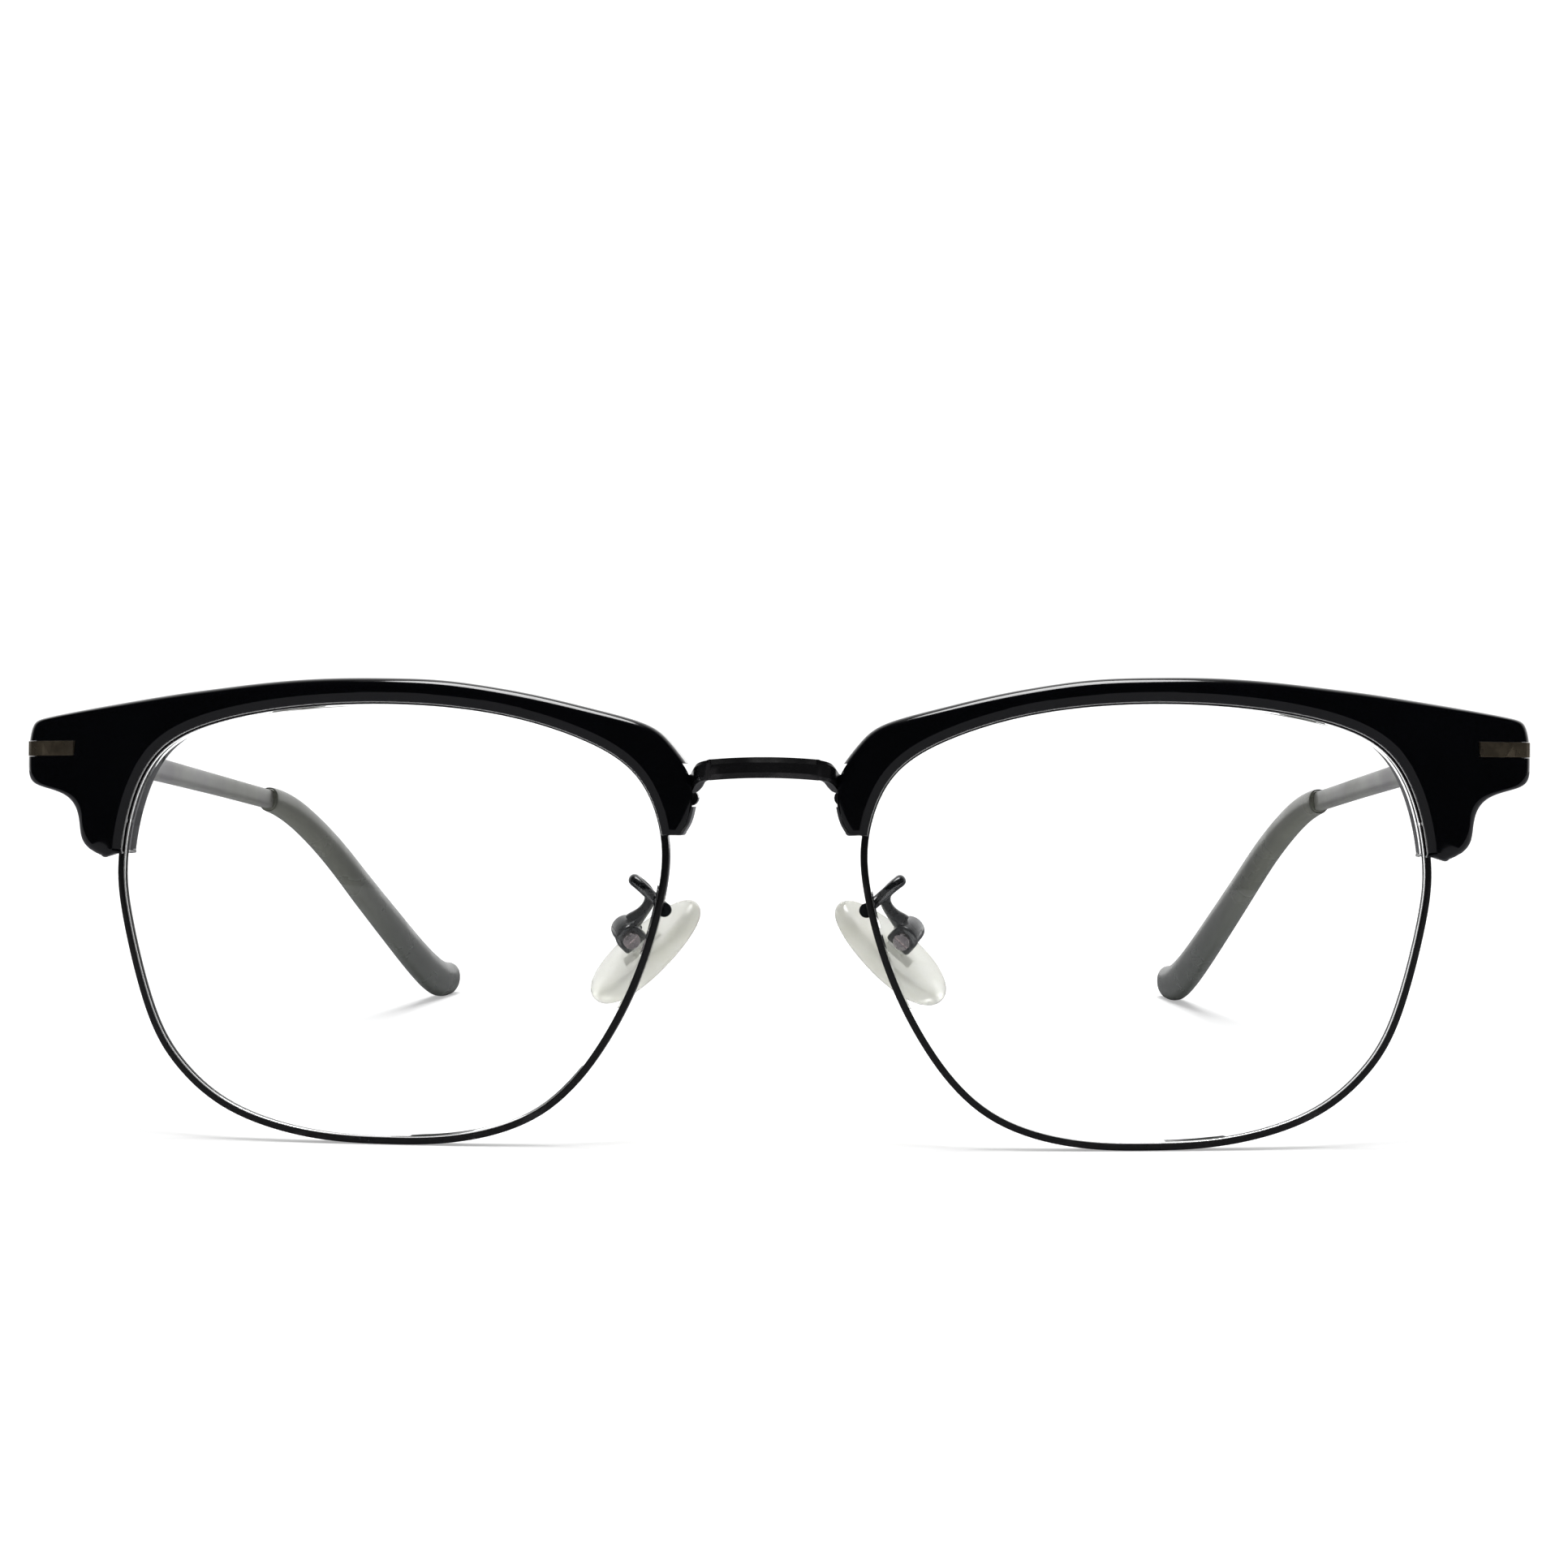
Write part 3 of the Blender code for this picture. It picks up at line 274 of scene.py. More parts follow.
def mesh_from(bm, name, crease=CREASE_ANGLE):
    bmesh.ops.recalc_face_normals(bm, faces=bm.faces)
    mesh = bpy.data.meshes.new(name)
    bm.to_mesh(mesh)
    bm.free()
    mesh.shade_smooth()
    mesh.set_sharp_from_angle(angle=crease)
    return mesh


def loft(name, rings, poles=(None, None), slots=None, cyclic=False):
    """A closed skin over rings of equal length; its ends are flat caps, or fans to the poles.

    slots gives the material slot of each side of the section.
    """
    bm = bmesh.new()
    rows = [[bm.verts.new(point) for point in ring] for ring in rings]
    count = len(rows[0])
    pairs = list(zip(rows, rows[1:]))
    if cyclic:
        pairs.append((rows[-1], rows[0]))
    for one, two in pairs:
        for i in range(count):
            j = (i + 1) % count
            face = bm.faces.new((one[i], one[j], two[j], two[i]))
            if slots is not None:
                face.material_index = slots[i]
    if not cyclic:
        for row, pole in ((rows[0], poles[0]), (rows[-1], poles[1])):
            if pole is None:
                bm.faces.new(row)
                continue
            tip = bm.verts.new(pole)
            for i in range(count):
                bm.faces.new((row[i], row[(i + 1) % count], tip))
    return mesh_from(bm, name)


def frame_at(origin, first, second, third):
    """A matrix with the given origin (millimetres of the object) and axes."""
    matrix = Matrix.Identity(4)
    for column, axis in enumerate((first, second, third)):
        matrix.col[column][:3] = axis
    matrix.translation = place(*origin)
    return matrix


def box_mesh(name, low, high, matrix):
    """A box between two corners, in millimetres of the given frame."""
    bm = bmesh.new()
    bmesh.ops.create_cube(bm, size=1.0)
    size = Vector([high[i] - low[i] for i in range(3)]) * MM
    middle = Vector([high[i] + low[i] for i in range(3)]) * (0.5 * MM)
    bmesh.ops.scale(bm, vec=size, verts=bm.verts)
    bmesh.ops.translate(bm, vec=middle, verts=bm.verts)
    bmesh.ops.transform(bm, matrix=matrix, verts=bm.verts)
    return mesh_from(bm, name)


def rod_mesh(name, radius, start, end, matrix, segments=24):
    """A round rod between two points, in millimetres of the given frame."""
    bm = bmesh.new()
    first, last = Vector(start) * MM, Vector(end) * MM
    along = last - first
    bmesh.ops.create_cone(bm, cap_ends=True, segments=segments, radius1=radius * MM, radius2=radius * MM,
                          depth=along.length)
    turn = Vector((0.0, 0.0, 1.0)).rotation_difference(along).to_matrix().to_4x4()
    bmesh.ops.transform(bm, matrix=matrix @ Matrix.Translation((first + last) / 2.0) @ turn, verts=bm.verts)
    return mesh_from(bm, name)


def slab_mesh(name, outline, low, high, matrix):
    """A flat outline in the frame's first two axes, drawn out along its third axis."""
    bm = bmesh.new()
    face = bm.faces.new([bm.verts.new(Vector((a, b, low)) * MM) for a, b in outline])
    drawn = bmesh.ops.extrude_face_region(bm, geom=[face])["geom"]
    moved = [item for item in drawn if isinstance(item, bmesh.types.BMVert)]
    bmesh.ops.translate(bm, vec=Vector((0.0, 0.0, high - low)) * MM, verts=moved)
    bmesh.ops.transform(bm, matrix=matrix, verts=bm.verts)
    return mesh_from(bm, name)


def new_piece(name, mesh, materials):
    mesh.materials.clear()
    for material in materials:
        mesh.materials.append(material)
    item = bpy.data.objects.new(name, mesh)
    bpy.context.scene.collection.objects.link(item)
    return item


def apply_modifiers(item, crease=CREASE_ANGLE):
    """Replace a piece's mesh by what its modifiers make of it."""
    bpy.context.view_layer.update()
    evaluated = item.evaluated_get(bpy.context.evaluated_depsgraph_get())
    mesh = bpy.data.meshes.new_from_object(evaluated)
    item.modifiers.clear()
    item.data = mesh
    mesh.shade_smooth()
    mesh.set_sharp_from_angle(angle=crease)


def cut(item, tools):
    """Cut the tool meshes out of a piece."""
    helpers = []
    for mesh in tools:
        helper = bpy.data.objects.new(mesh.name, mesh)
        bpy.context.scene.collection.objects.link(helper)
        helpers.append(helper)
        modifier = item.modifiers.new(mesh.name, 'BOOLEAN')
        modifier.operation = 'DIFFERENCE'
        modifier.solver = 'EXACT'
        modifier.object = helper
    apply_modifiers(item)
    for helper in helpers:
        bpy.data.objects.remove(helper, do_unlink=True)
    return item


def round_edges(item, width, segments=3, angle=35.0):
    """Round off a piece's sharp edges and keep its flats flat."""
    modifier = item.modifiers.new("rounded edges", 'BEVEL')
    modifier.width = width * MM
    modifier.segments = segments
    modifier.limit_method = 'ANGLE'
    modifier.angle_limit = math.radians(angle)
    modifier.harden_normals = True
    return item


def even_normals(item):
    modifier = item.modifiers.new("even normals", 'WEIGHTED_NORMAL')
    modifier.keep_sharp = True
    modifier.weight = 60
    return item


COPIED_SETTINGS = ("width", "segments", "limit_method", "angle_limit", "harden_normals", "keep_sharp",
                   "weight")


def mirrored(item, name):
    """The -X side's copy of a piece."""
    mesh = item.data.copy()
    mesh.name = name
    mesh.transform(Matrix.Scale(-1.0, 4, (1.0, 0.0, 0.0)))
    mesh.flip_normals()
    twin = bpy.data.objects.new(name, mesh)
    bpy.context.scene.collection.objects.link(twin)
    for modifier in item.modifiers:
        copied = twin.modifiers.new(modifier.name, modifier.type)
        for key in COPIED_SETTINGS:
            if hasattr(modifier, key):
                setattr(copied, key, getattr(modifier, key))
    return twin


def both_sides(item, base, body, nodes):
    """Name the drawn piece for the right side, make its left twin, and hang both on their bodies."""
    item.name = f"{base}_right"
    for side, piece in (("right", item), ("left", mirrored(item, f"{base}_left"))):
        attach(piece, FRONT_BODY if body == FRONT_BODY else f"{body}_{side}")
        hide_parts(*[f"{node}_{side}" for node in nodes])


# ---- finishes ------------------------------------------------------------------------------------

def new_group(name, inputs, outputs):
    group = bpy.data.node_groups.new(name, 'ShaderNodeTree')
    for label, kind, value in inputs:
        socket = group.interface.new_socket(name=label, in_out='INPUT', socket_type=kind)
        socket.default_value = value
    for label, kind in outputs:
        group.interface.new_socket(name=label, in_out='OUTPUT', socket_type=kind)
    return group, group.nodes.new('NodeGroupInput'), group.nodes.new('NodeGroupOutput')


def smooth_range(tree, value, start, end):
    """A node that rises smoothly while a value goes from start to end."""
    node = tree.nodes.new('ShaderNodeMapRange')
    node.interpolation_type = 'SMOOTHSTEP'
    node.inputs['From Min'].default_value = start
    node.inputs['From Max'].default_value = end
    tree.links.new(value, node.inputs['Value'])
    return node


def multiplied(tree, first, second):
    node = tree.nodes.new('ShaderNodeMath')
    node.operation = 'MULTIPLY'
    tree.links.new(first, node.inputs[0])
    tree.links.new(second, node.inputs[1])
    return node.outputs[0]


def mixed_colour(tree, share, first, second, blend='MIX'):
    """A blend of two colours. Each input is a socket, or a plain value."""
    node = tree.nodes.new('ShaderNodeMix')
    node.data_type = 'RGBA'
    node.blend_type = blend
    for key, given in (('Factor', share), ('A', first), ('B', second)):
        if isinstance(given, bpy.types.NodeSocket):
            tree.links.new(given, node.inputs[key])
        else:
            node.inputs[key].default_value = given
    return node.outputs['Result']


def mixed_shader(tree, share, first, second, output):
    """Send a blend of two shaders to the output."""
    node = tree.nodes.new('ShaderNodeMixShader')
    tree.links.new(share, node.inputs['Fac'])
    tree.links.new(first, node.inputs[1])
    tree.links.new(second, node.inputs[2])
    tree.links.new(node.outputs[0], output.inputs['Surface'])


def scaled_place(tree, size_socket):
    """The point on the piece, divided by a size given in millimetres."""
    where = tree.nodes.new('ShaderNodeTexCoord')
    to_mm = tree.nodes.new('ShaderNodeMath')
    to_mm.operation = 'DIVIDE'
    to_mm.inputs[0].default_value = 1.0 / MM
    scale = tree.nodes.new('ShaderNodeVectorMath')
    scale.operation = 'SCALE'
    tree.links.new(size_socket, to_mm.inputs[1])
    tree.links.new(where.outputs['Object'], scale.inputs[0])
    tree.links.new(to_mm.outputs[0], scale.inputs['Scale'])
    return scale.outputs[0]


def noise(tree, place_socket, detail, roughness=0.55):
    node = tree.nodes.new('ShaderNodeTexNoise')
    node.inputs['Scale'].default_value = 1.0
    node.inputs['Detail'].default_value = detail
    node.inputs['Roughness'].default_value = roughness
    tree.links.new(place_socket, node.inputs['Vector'])
    return node.outputs['Fac']


def handled_surface():
    """Roughness that changes with wiping and handling, and a fine height for bump."""
    name = "handled_surface"
    if name in bpy.data.node_groups:
        return bpy.data.node_groups[name]
    group, given, result = new_group(
        name,
        [("Patch Size", 'NodeSocketFloat', 6.0), ("Grain Size", 'NodeSocketFloat', 0.4),
         ("Smooth", 'NodeSocketFloat', 0.1), ("Rough", 'NodeSocketFloat', 0.2)],
        [("Roughness", 'NodeSocketFloat'), ("Height", 'NodeSocketFloat')])
    patches = noise(group, scaled_place(group, given.outputs['Patch Size']), 4.0)
    spread = smooth_range(group, patches, 0.35, 0.68)
    group.links.new(given.outputs['Smooth'], spread.inputs['To Min'])
    group.links.new(given.outputs['Rough'], spread.inputs['To Max'])
    grain = noise(group, scaled_place(group, given.outputs['Grain Size']), 3.0)
    group.links.new(spread.outputs['Result'], result.inputs['Roughness'])
    group.links.new(grain, result.inputs['Height'])
    return group


def mottled_colour():
    """Two colours that run into each other in patches."""
    name = "mottled_colour"
    if name in bpy.data.node_groups:
        return bpy.data.node_groups[name]
    group, given, result = new_group(
        name,
        [("First Colour", 'NodeSocketColor', (0.5, 0.5, 0.5, 1.0)),
         ("Second Colour", 'NodeSocketColor', (0.4, 0.4, 0.4, 1.0)),
         ("Patch Size", 'NodeSocketFloat', 3.0), ("Amount", 'NodeSocketFloat', 1.0)],
        [("Colour", 'NodeSocketColor')])
    patches = noise(group, scaled_place(group, given.outputs['Patch Size']), 5.0, 0.6)
    spread = smooth_range(group, patches, 0.38, 0.64)
    share = multiplied(group, spread.outputs['Result'], given.outputs['Amount'])
    colour = mixed_colour(group, share, given.outputs['First Colour'], given.outputs['Second Colour'])
    group.links.new(colour, result.inputs['Colour'])
    return group


def rubbed_edges():
    """A colour that turns to a second one along the outer edges, where paint and polish wear first."""
    name = "rubbed_edges"
    if name in bpy.data.node_groups:
        return bpy.data.node_groups[name]
    group, given, result = new_group(
        name,
        [("Colour", 'NodeSocketColor', (0.5, 0.5, 0.5, 1.0)),
         ("Rubbed Colour", 'NodeSocketColor', (0.7, 0.7, 0.7, 1.0)), ("Amount", 'NodeSocketFloat', 0.5)],
        [("Colour", 'NodeSocketColor')])
    shape = group.nodes.new('ShaderNodeNewGeometry')
    edge = smooth_range(group, shape.outputs['Pointiness'], 0.53, 0.62)
    share = multiplied(group, edge.outputs['Result'], given.outputs['Amount'])
    colour = mixed_colour(group, share, given.outputs['Colour'], given.outputs['Rubbed Colour'])
    group.links.new(colour, result.inputs['Colour'])
    return group


def place_group(tree, group, values):
    node = tree.nodes.new('ShaderNodeGroup')
    node.node_tree = group
    for key, value in values.items():
        socket = node.inputs[key]
        socket.default_value = (*value, 1.0) if isinstance(value, tuple) and len(value) == 3 else value
    return node


def finish_material(name, uniform, colours, patch, surface, bump, rubbed=None):
    """A Principled material with mottled colour, handled roughness and fine bump.

    colours: two colours; patch: (size in mm, amount); surface: (patch mm, grain mm, smooth, rough);
    bump: (strength, height in mm); rubbed: (colour, amount) for worn edges.
    """
    material = bpy.data.materials.new(name)
    material.use_nodes = True
    tree = material.node_tree
    shader = tree.nodes['Principled BSDF']
    for key, value in uniform.items():
        shader.inputs[key].default_value = value
    colour = place_group(tree, mottled_colour(), {
        'First Colour': tuple(colours[0]), 'Second Colour': tuple(colours[1]),
        'Patch Size': patch[0], 'Amount': patch[1]}).outputs['Colour']
    if rubbed is not None:
        worn = place_group(tree, rubbed_edges(), {'Rubbed Colour': tuple(rubbed[0]), 'Amount': rubbed[1]})
        tree.links.new(colour, worn.inputs['Colour'])
        colour = worn.outputs['Colour']
    tree.links.new(colour, shader.inputs['Base Color'])
    handled = place_group(tree, handled_surface(), {
        'Patch Size': surface[0], 'Grain Size': surface[1], 'Smooth': surface[2], 'Rough': surface[3]})
    tree.links.new(handled.outputs['Roughness'], shader.inputs['Roughness'])
    relief = tree.nodes.new('ShaderNodeBump')
    relief.inputs['Strength'].default_value = bump[0]
    relief.inputs['Distance'].default_value = bump[1] * MM
    tree.links.new(handled.outputs['Height'], relief.inputs['Height'])
    tree.links.new(relief.outputs['Normal'], shader.inputs['Normal'])
    return material


def let_lamps_through(material, tint):
    """Rays from lamps pass straight through the piece, so that it casts only a light shadow."""
    tree = material.node_tree
    shader = tree.nodes['Principled BSDF']
    output = tree.nodes['Material Output']
    rays = tree.nodes.new('ShaderNodeLightPath')
    clear = tree.nodes.new('ShaderNodeBsdfTransparent')
    clear.inputs['Color'].default_value = (*tint, 1.0)
    mixed_shader(tree, rays.outputs['Is Shadow Ray'], shader.outputs['BSDF'], clear.outputs['BSDF'], output)


def run_along_temple(material, start_y, end_y, colours):
    """Shade a material's colour from one tone to another from the front of the temple to its tip."""
    tree = material.node_tree
    shader = tree.nodes['Principled BSDF']
    before = shader.inputs['Base Color'].links[0].from_socket
    where = tree.nodes.new('ShaderNodeTexCoord')
    split = tree.nodes.new('ShaderNodeSeparateXYZ')
    tree.links.new(where.outputs['Object'], split.inputs[0])
    spread = smooth_range(tree, split.outputs['Y'], place(0.0, start_y, 0.0).y, place(0.0, end_y, 0.0).y)
    tones = mixed_colour(tree, spread.outputs['Result'], (*colours[0], 1.0), (*colours[1], 1.0))
    tree.links.new(mixed_colour(tree, 1.0, before, tones, 'MULTIPLY'), shader.inputs['Base Color'])


def finished(make):
    """The material that a maker function gives, made the first time it is asked for."""
    return bpy.data.materials.get(make.__name__) or make(make.__name__)


def polished_acetate(name):
    look = bpy.context.scene.glasses_brow
    return finish_material(
        name, {'IOR': 1.48, 'Coat Weight': 0.5, 'Coat Roughness': 0.02},
        (look.colour, [c * 1.5 for c in look.colour]), (9.0, 0.6),
        (11.0, 0.5, look.roughness, look.roughness + 0.07), (0.04, 0.01))


def gloss_enamel(name):
    look = bpy.context.scene.glasses_wire
    return finish_material(
        name, {'IOR': 1.45, 'Coat Weight': 0.3, 'Coat Roughness': 0.05},
        (look.colour, [c * 1.7 for c in look.colour]), (4.0, 0.6),
        (5.0, 0.25, look.roughness, look.roughness + 0.12), (0.10, 0.012), ((0.03, 0.028, 0.03), 0.5))


def bare_wire(name):
    look = bpy.context.scene.glasses_wire
    return finish_material(
        name, {'Metallic': 0.2, 'IOR': 1.5}, (look.inner_colour, [c * 0.8 for c in look.inner_colour]),
        (2.5, 1.0), (3.0, 0.2, 0.30, 0.50), (0.15, 0.01))


def slate_plating(name):
    look = bpy.context.scene.glasses_pads
    return finish_material(
        name, {'Metallic': 0.1, 'IOR': 1.5, 'Coat Weight': 0.5, 'Coat Roughness': 0.06},
        (look.arm_colour, [c * 1.4 for c in look.arm_colour]), (2.0, 0.6), (2.2, 0.2, 0.18, 0.30),
        (0.10, 0.012), ((0.05, 0.053, 0.057), 0.2))


def turned_steel(name):
    return finish_material(
        name, {'Metallic': 1.0}, ((0.68, 0.62, 0.62), (0.50, 0.45, 0.46)), (1.2, 0.8),
        (0.8, 0.12, 0.20, 0.38), (0.20, 0.01))


def brushed_bronze(name):
    look = bpy.context.scene.glasses_hardware
    return finish_material(
        name, {'Metallic': 0.9}, (look.inlay_colour, [c * 0.6 for c in look.inlay_colour]), (1.6, 0.8),
        (1.5, 0.12, 0.26, 0.42), (0.2, 0.012), ((0.34, 0.29, 0.23), 0.5))


def grey_lacquer(name):
    look = bpy.context.scene.glasses_temples
    material = finish_material(
        name, {'Metallic': 0.25, 'IOR': 1.5, 'Coat Weight': 0.25, 'Coat Roughness': 0.2},
        (look.shaft_colour, [c * f for c, f in zip(look.shaft_colour, (0.86, 0.84, 0.90))]), (5.0, 0.9),
        (6.0, 0.25, 0.30, 0.46), (0.12, 0.012), ((0.36, 0.36, 0.35), 0.35))
    run_along_temple(material, 24.0, 66.0, ((1.0, 1.0, 1.0), (0.66, 0.67, 0.62)))
    return material


def smoky_tip(name):
    look = bpy.context.scene.glasses_temples
    material = finish_material(
        name, {'IOR': 1.47, 'Coat Weight': 0.15, 'Coat Roughness': 0.15},
        (look.tip_colour, [c * 0.85 for c in look.tip_colour]), (12.0, 0.3), (8.0, 0.3, 0.26, 0.36),
        (0.05, 0.01))
    run_along_temple(material, 66.0, 128.0, ((1.0, 1.0, 1.0), (0.44, 0.48, 0.50)))
    return material


def moulded_silicone(name):
    look = bpy.context.scene.glasses_pads
    material = finish_material(
        name,
        {'IOR': 1.38, 'Transmission Weight': look.clearness, 'Coat Weight': 0.35, 'Coat Roughness': 0.05},
        (look.silicone_colour, [c * f for c, f in zip(look.silicone_colour, (0.95, 0.95, 0.91))]), (2.6, 0.8),
        (1.8, 0.7, 0.10, 0.26), (0.25, 0.06))
    let_lamps_through(material, (0.86, 0.86, 0.84))
    return material


def white_nylon(name):
    return finish_material(
        name, {'IOR': 1.46}, ((0.86, 0.86, 0.83), (0.74, 0.75, 0.70)), (0.8, 0.8), (1.0, 0.2, 0.25, 0.4),
        (0.2, 0.02))


def coated_glass(name):
    look = bpy.context.scene.glasses_lenses
    material = bpy.data.materials.new(name)
    material.use_nodes = True
    tree = material.node_tree
    shader = tree.nodes['Principled BSDF']
    for key, value in {'IOR': look.refraction, 'Transmission Weight': 1.0, 'Roughness': 0.0,
                       'Specular IOR Level': 0.3, 'Coat Weight': 0.3, 'Coat Roughness': 0.0}.items():
        shader.inputs[key].default_value = value
    tint = place_group(tree, mottled_colour(), {
        'First Colour': (0.998, 0.999, 1.0), 'Second Colour': (0.990, 0.996, 0.998), 'Patch Size': 24.0,
        'Amount': 1.0})
    tree.links.new(tint.outputs['Colour'], shader.inputs['Base Color'])
    let_lamps_through(material, (0.98, 0.985, 0.99))
    return material


# ---- frames of the pads --------------------------------------------------------------------------

def pad_frame():
    """Origin at the pad's centre; axes: along the pad, towards the nose, across the pad."""
    turn = math.radians(PAD_LONG_ANGLE)
    splay = math.radians(PAD_SPLAY)
    along = Vector((math.cos(turn), 0.0, math.sin(turn)))
    inward = Vector((math.sin(turn), 0.0, -math.cos(turn)))
    back = Vector((0.0, 1.0, 0.0))
    towards_nose = inward * math.cos(splay) + back * math.sin(splay)
    across = back * math.cos(splay) - inward * math.sin(splay)
    return frame_at(PAD_CENTRE, along, towards_nose, across)


def pad_box_frame():
    return pad_frame() @ Matrix.Translation(Vector((0.0, -PAD_BOX_OFFSET, 0.0)) * MM)


def end_piece_frame():
    """Origin on the hinge axis; axes: across the flat back, straight back from it, up the hinge pin."""
    up = Vector((0.0, TEMPLE_SLOPE, 1.0)).normalized()
    back = Vector((-END_BACK_SLOPE_U, 1.0, -TEMPLE_SLOPE)).normalized()
    back = (back - back.dot(up) * up).normalized()
    return frame_at(HINGE_AXIS, back.cross(up), back, up)


def axes_at(u, y, z):
    return frame_at((u, y, z), (1.0, 0.0, 0.0), (0.0, 1.0, 0.0), (0.0, 0.0, 1.0))


# ---- brows ---------------------------------------------------------------------------------------

def arc(centre, start, end, steps):
    """Points of a quarter turn about centre, from start to end, all as (a, depth)."""
    first = (start[0] - centre[0], start[1] - centre[1])
    last = (end[0] - centre[0], end[1] - centre[1])
    points = []
    for k in range(steps + 1):
        turn = math.radians(90.0) * k / steps
        c, s = math.cos(turn), math.sin(turn)
        points.append((centre[0] + first[0] * c + last[0] * s, centre[1] + first[1] * c + last[1] * s))
    return points


def brow_ring(place_along, outer):
    """One cross-section of the brow, from the eyewire's side round the front to the back."""
    inner, out = opening_frame(place_along)
    outer = np.array(outer)
    across = inner + out * 0.9 - outer
    width = np.linalg.norm(outer - inner)
    across /= np.linalg.norm(across)
    bevel = min(BROW_BEVEL, 0.45 * width)
    rounding = min(BROW_ROUNDING, 0.42 * width)

    def near(a, depth, surface=front_y):
        u, z = inner + out * a
        return place(u, surface(u, z) + depth, z)

    def far(a, depth, surface=front_y):
        u, z = outer + across * a
        return place(u, surface(u, z) + depth, z)
    ring = [near(LIP_INSET, 0.62), near(LIP_INSET + 0.03, 0.50)]
    for k in range(6):
        share = k / 5.0
        ring.append(near(LIP_INSET + 0.12 + (bevel - LIP_INSET) * share, 0.40 * (1.0 - share) ** 1.35))
    ring += [far(a, d) for a, d in arc((rounding, BROW_ROUNDING), (rounding, 0.0), (0.0, BROW_ROUNDING), 8)]
    ring += [far(a, d, back_y) for a, d in arc((0.6, -0.6), (0.0, -0.6), (0.6, 0.0), 5)]
    ring += [near(a, d, back_y) for a, d in arc((0.6, -0.45), (0.6, 0.0), (LIP_INSET, -0.45), 4)]
    slot_front, slot_back = SLOT_DEPTHS
    ring += [near(LIP_INSET, slot_back), near(SLOT_DEPTH, slot_back), near(SLOT_DEPTH, slot_front),
             near(LIP_INSET, slot_front)]
    return ring


def rounded_end(ring, inner_ring, radius):
    """Extra rings that close an end with a rounded edge, from the first ring outwards."""
    centre = sum(ring, Vector()) / len(ring)
    ahead = (centre - sum(inner_ring, Vector()) / len(inner_ring)).normalized()
    rings = []
    for k in range(1, 5):
        turn = math.radians(22.5 * k)
        shrink = radius * MM * (1.0 - math.cos(turn))
        step = ahead * (radius * MM * math.sin(turn))
        rings.append([p + (centre - p).normalized() * shrink + step for p in ring])
    return rings


def inlay_recess():
    """The groove for the metal bar, from its inner end round the corner of the end piece."""
    start, corner = INLAY_U
    bend = 1.0
    path = [(u, front_y(u, INLAY_Z), 0.0) for u in np.linspace(start, corner - bend, 6)]
    corner_y = front_y(corner, INLAY_Z)
    lean = math.atan(2.0 * (corner_y - front_y(corner - 0.5, INLAY_Z)))
    first_y = front_y(corner - bend, INLAY_Z)
    for k in range(1, 7):
        turn = math.radians(15.0 * k)
        path.append((corner - bend + bend * math.sin(turn),
                     first_y + (corner_y + bend - first_y) * (1.0 - math.cos(turn)), turn))
    path.append((corner, corner_y + INLAY_REACH_BACK, math.pi / 2.0))
    half = INLAY_HEIGHT / 2.0 + INLAY_GAP
    rings = []
    for k, (u, y, turn) in enumerate(path):
        turn = max(turn, lean)
        out = np.array((math.sin(turn), -math.cos(turn)))
        along = np.array((math.cos(turn), math.sin(turn)))
        shift = -INLAY_GAP if k == 0 else (INLAY_GAP if k == len(path) - 1 else 0.0)
        centre = np.array((u, y)) + along * shift
        outer, inner = centre + out * 0.65, centre - out * (INLAY_DEPTH + INLAY_GAP)
        rings.append([place(*outer, INLAY_Z - half), place(*outer, INLAY_Z + half),
                      place(*inner, INLAY_Z + half), place(*inner, INLAY_Z - half)])
    return loft("inlay_recess", rings)


def build_brow_mesh(steps):
    path = ring_spline(BROW_STATIONS, False)
    last = len(BROW_STATIONS) - 1
    rings = []
    for s in np.linspace(0.32, last - 0.25, steps):
        place_along, u, z = path(s)
        rings.append(brow_ring(place_along, (u, z)))
    start = rounded_end(rings[0], rings[1], BROW_END_ROUNDING)
    end = rounded_end(rings[-1], rings[-2], BROW_END_ROUNDING)
    return loft("acetate_brow", list(reversed(start)) + rings + end)


def brow_cuts():
    lock_u, _ = opening(opening_place_at(LOCK_Z))
    lock = axes_at(lock_u, front_y(lock_u, LOCK_Z), LOCK_Z)
    end = end_piece_frame()
    world = axes_at(0.0, 0.0, 0.0)
    u, y, z = BROW_SCREW
    wall_y = front_y(8.0, 33.0) + REBATE_WALL
    tools = [box_mesh("lock_pocket", *LOCK_POCKET, lock),
             box_mesh("lock_mouth", *LOCK_MOUTH, lock),
             box_mesh("bridge_rebate", (REBATE_U[0], wall_y, REBATE_Z[0]),
                      (REBATE_U[1], 12.0, REBATE_Z[1]), world),
             rod_mesh("brow_screw_hole", BROW_SCREW_HOLE, (u, y - 3.15, z), (u, y + 3.5, z), world),
             inlay_recess()]
    for level in (STUD_Z, -STUD_Z):
        tools.append(rod_mesh("stud_hole", STUD_RADIUS + 0.06, (STUD_ACROSS, -4.6, level),
                              (STUD_ACROSS, 0.0, level), end))
    return tools


# ---- eyewires and lenses -------------------------------------------------------------------------

def opening_point(place_along, outward, depth):
    point, out = opening_frame(place_along)
    u, z = point + out * outward
    return place(u, front_y(u, z) + depth, z)


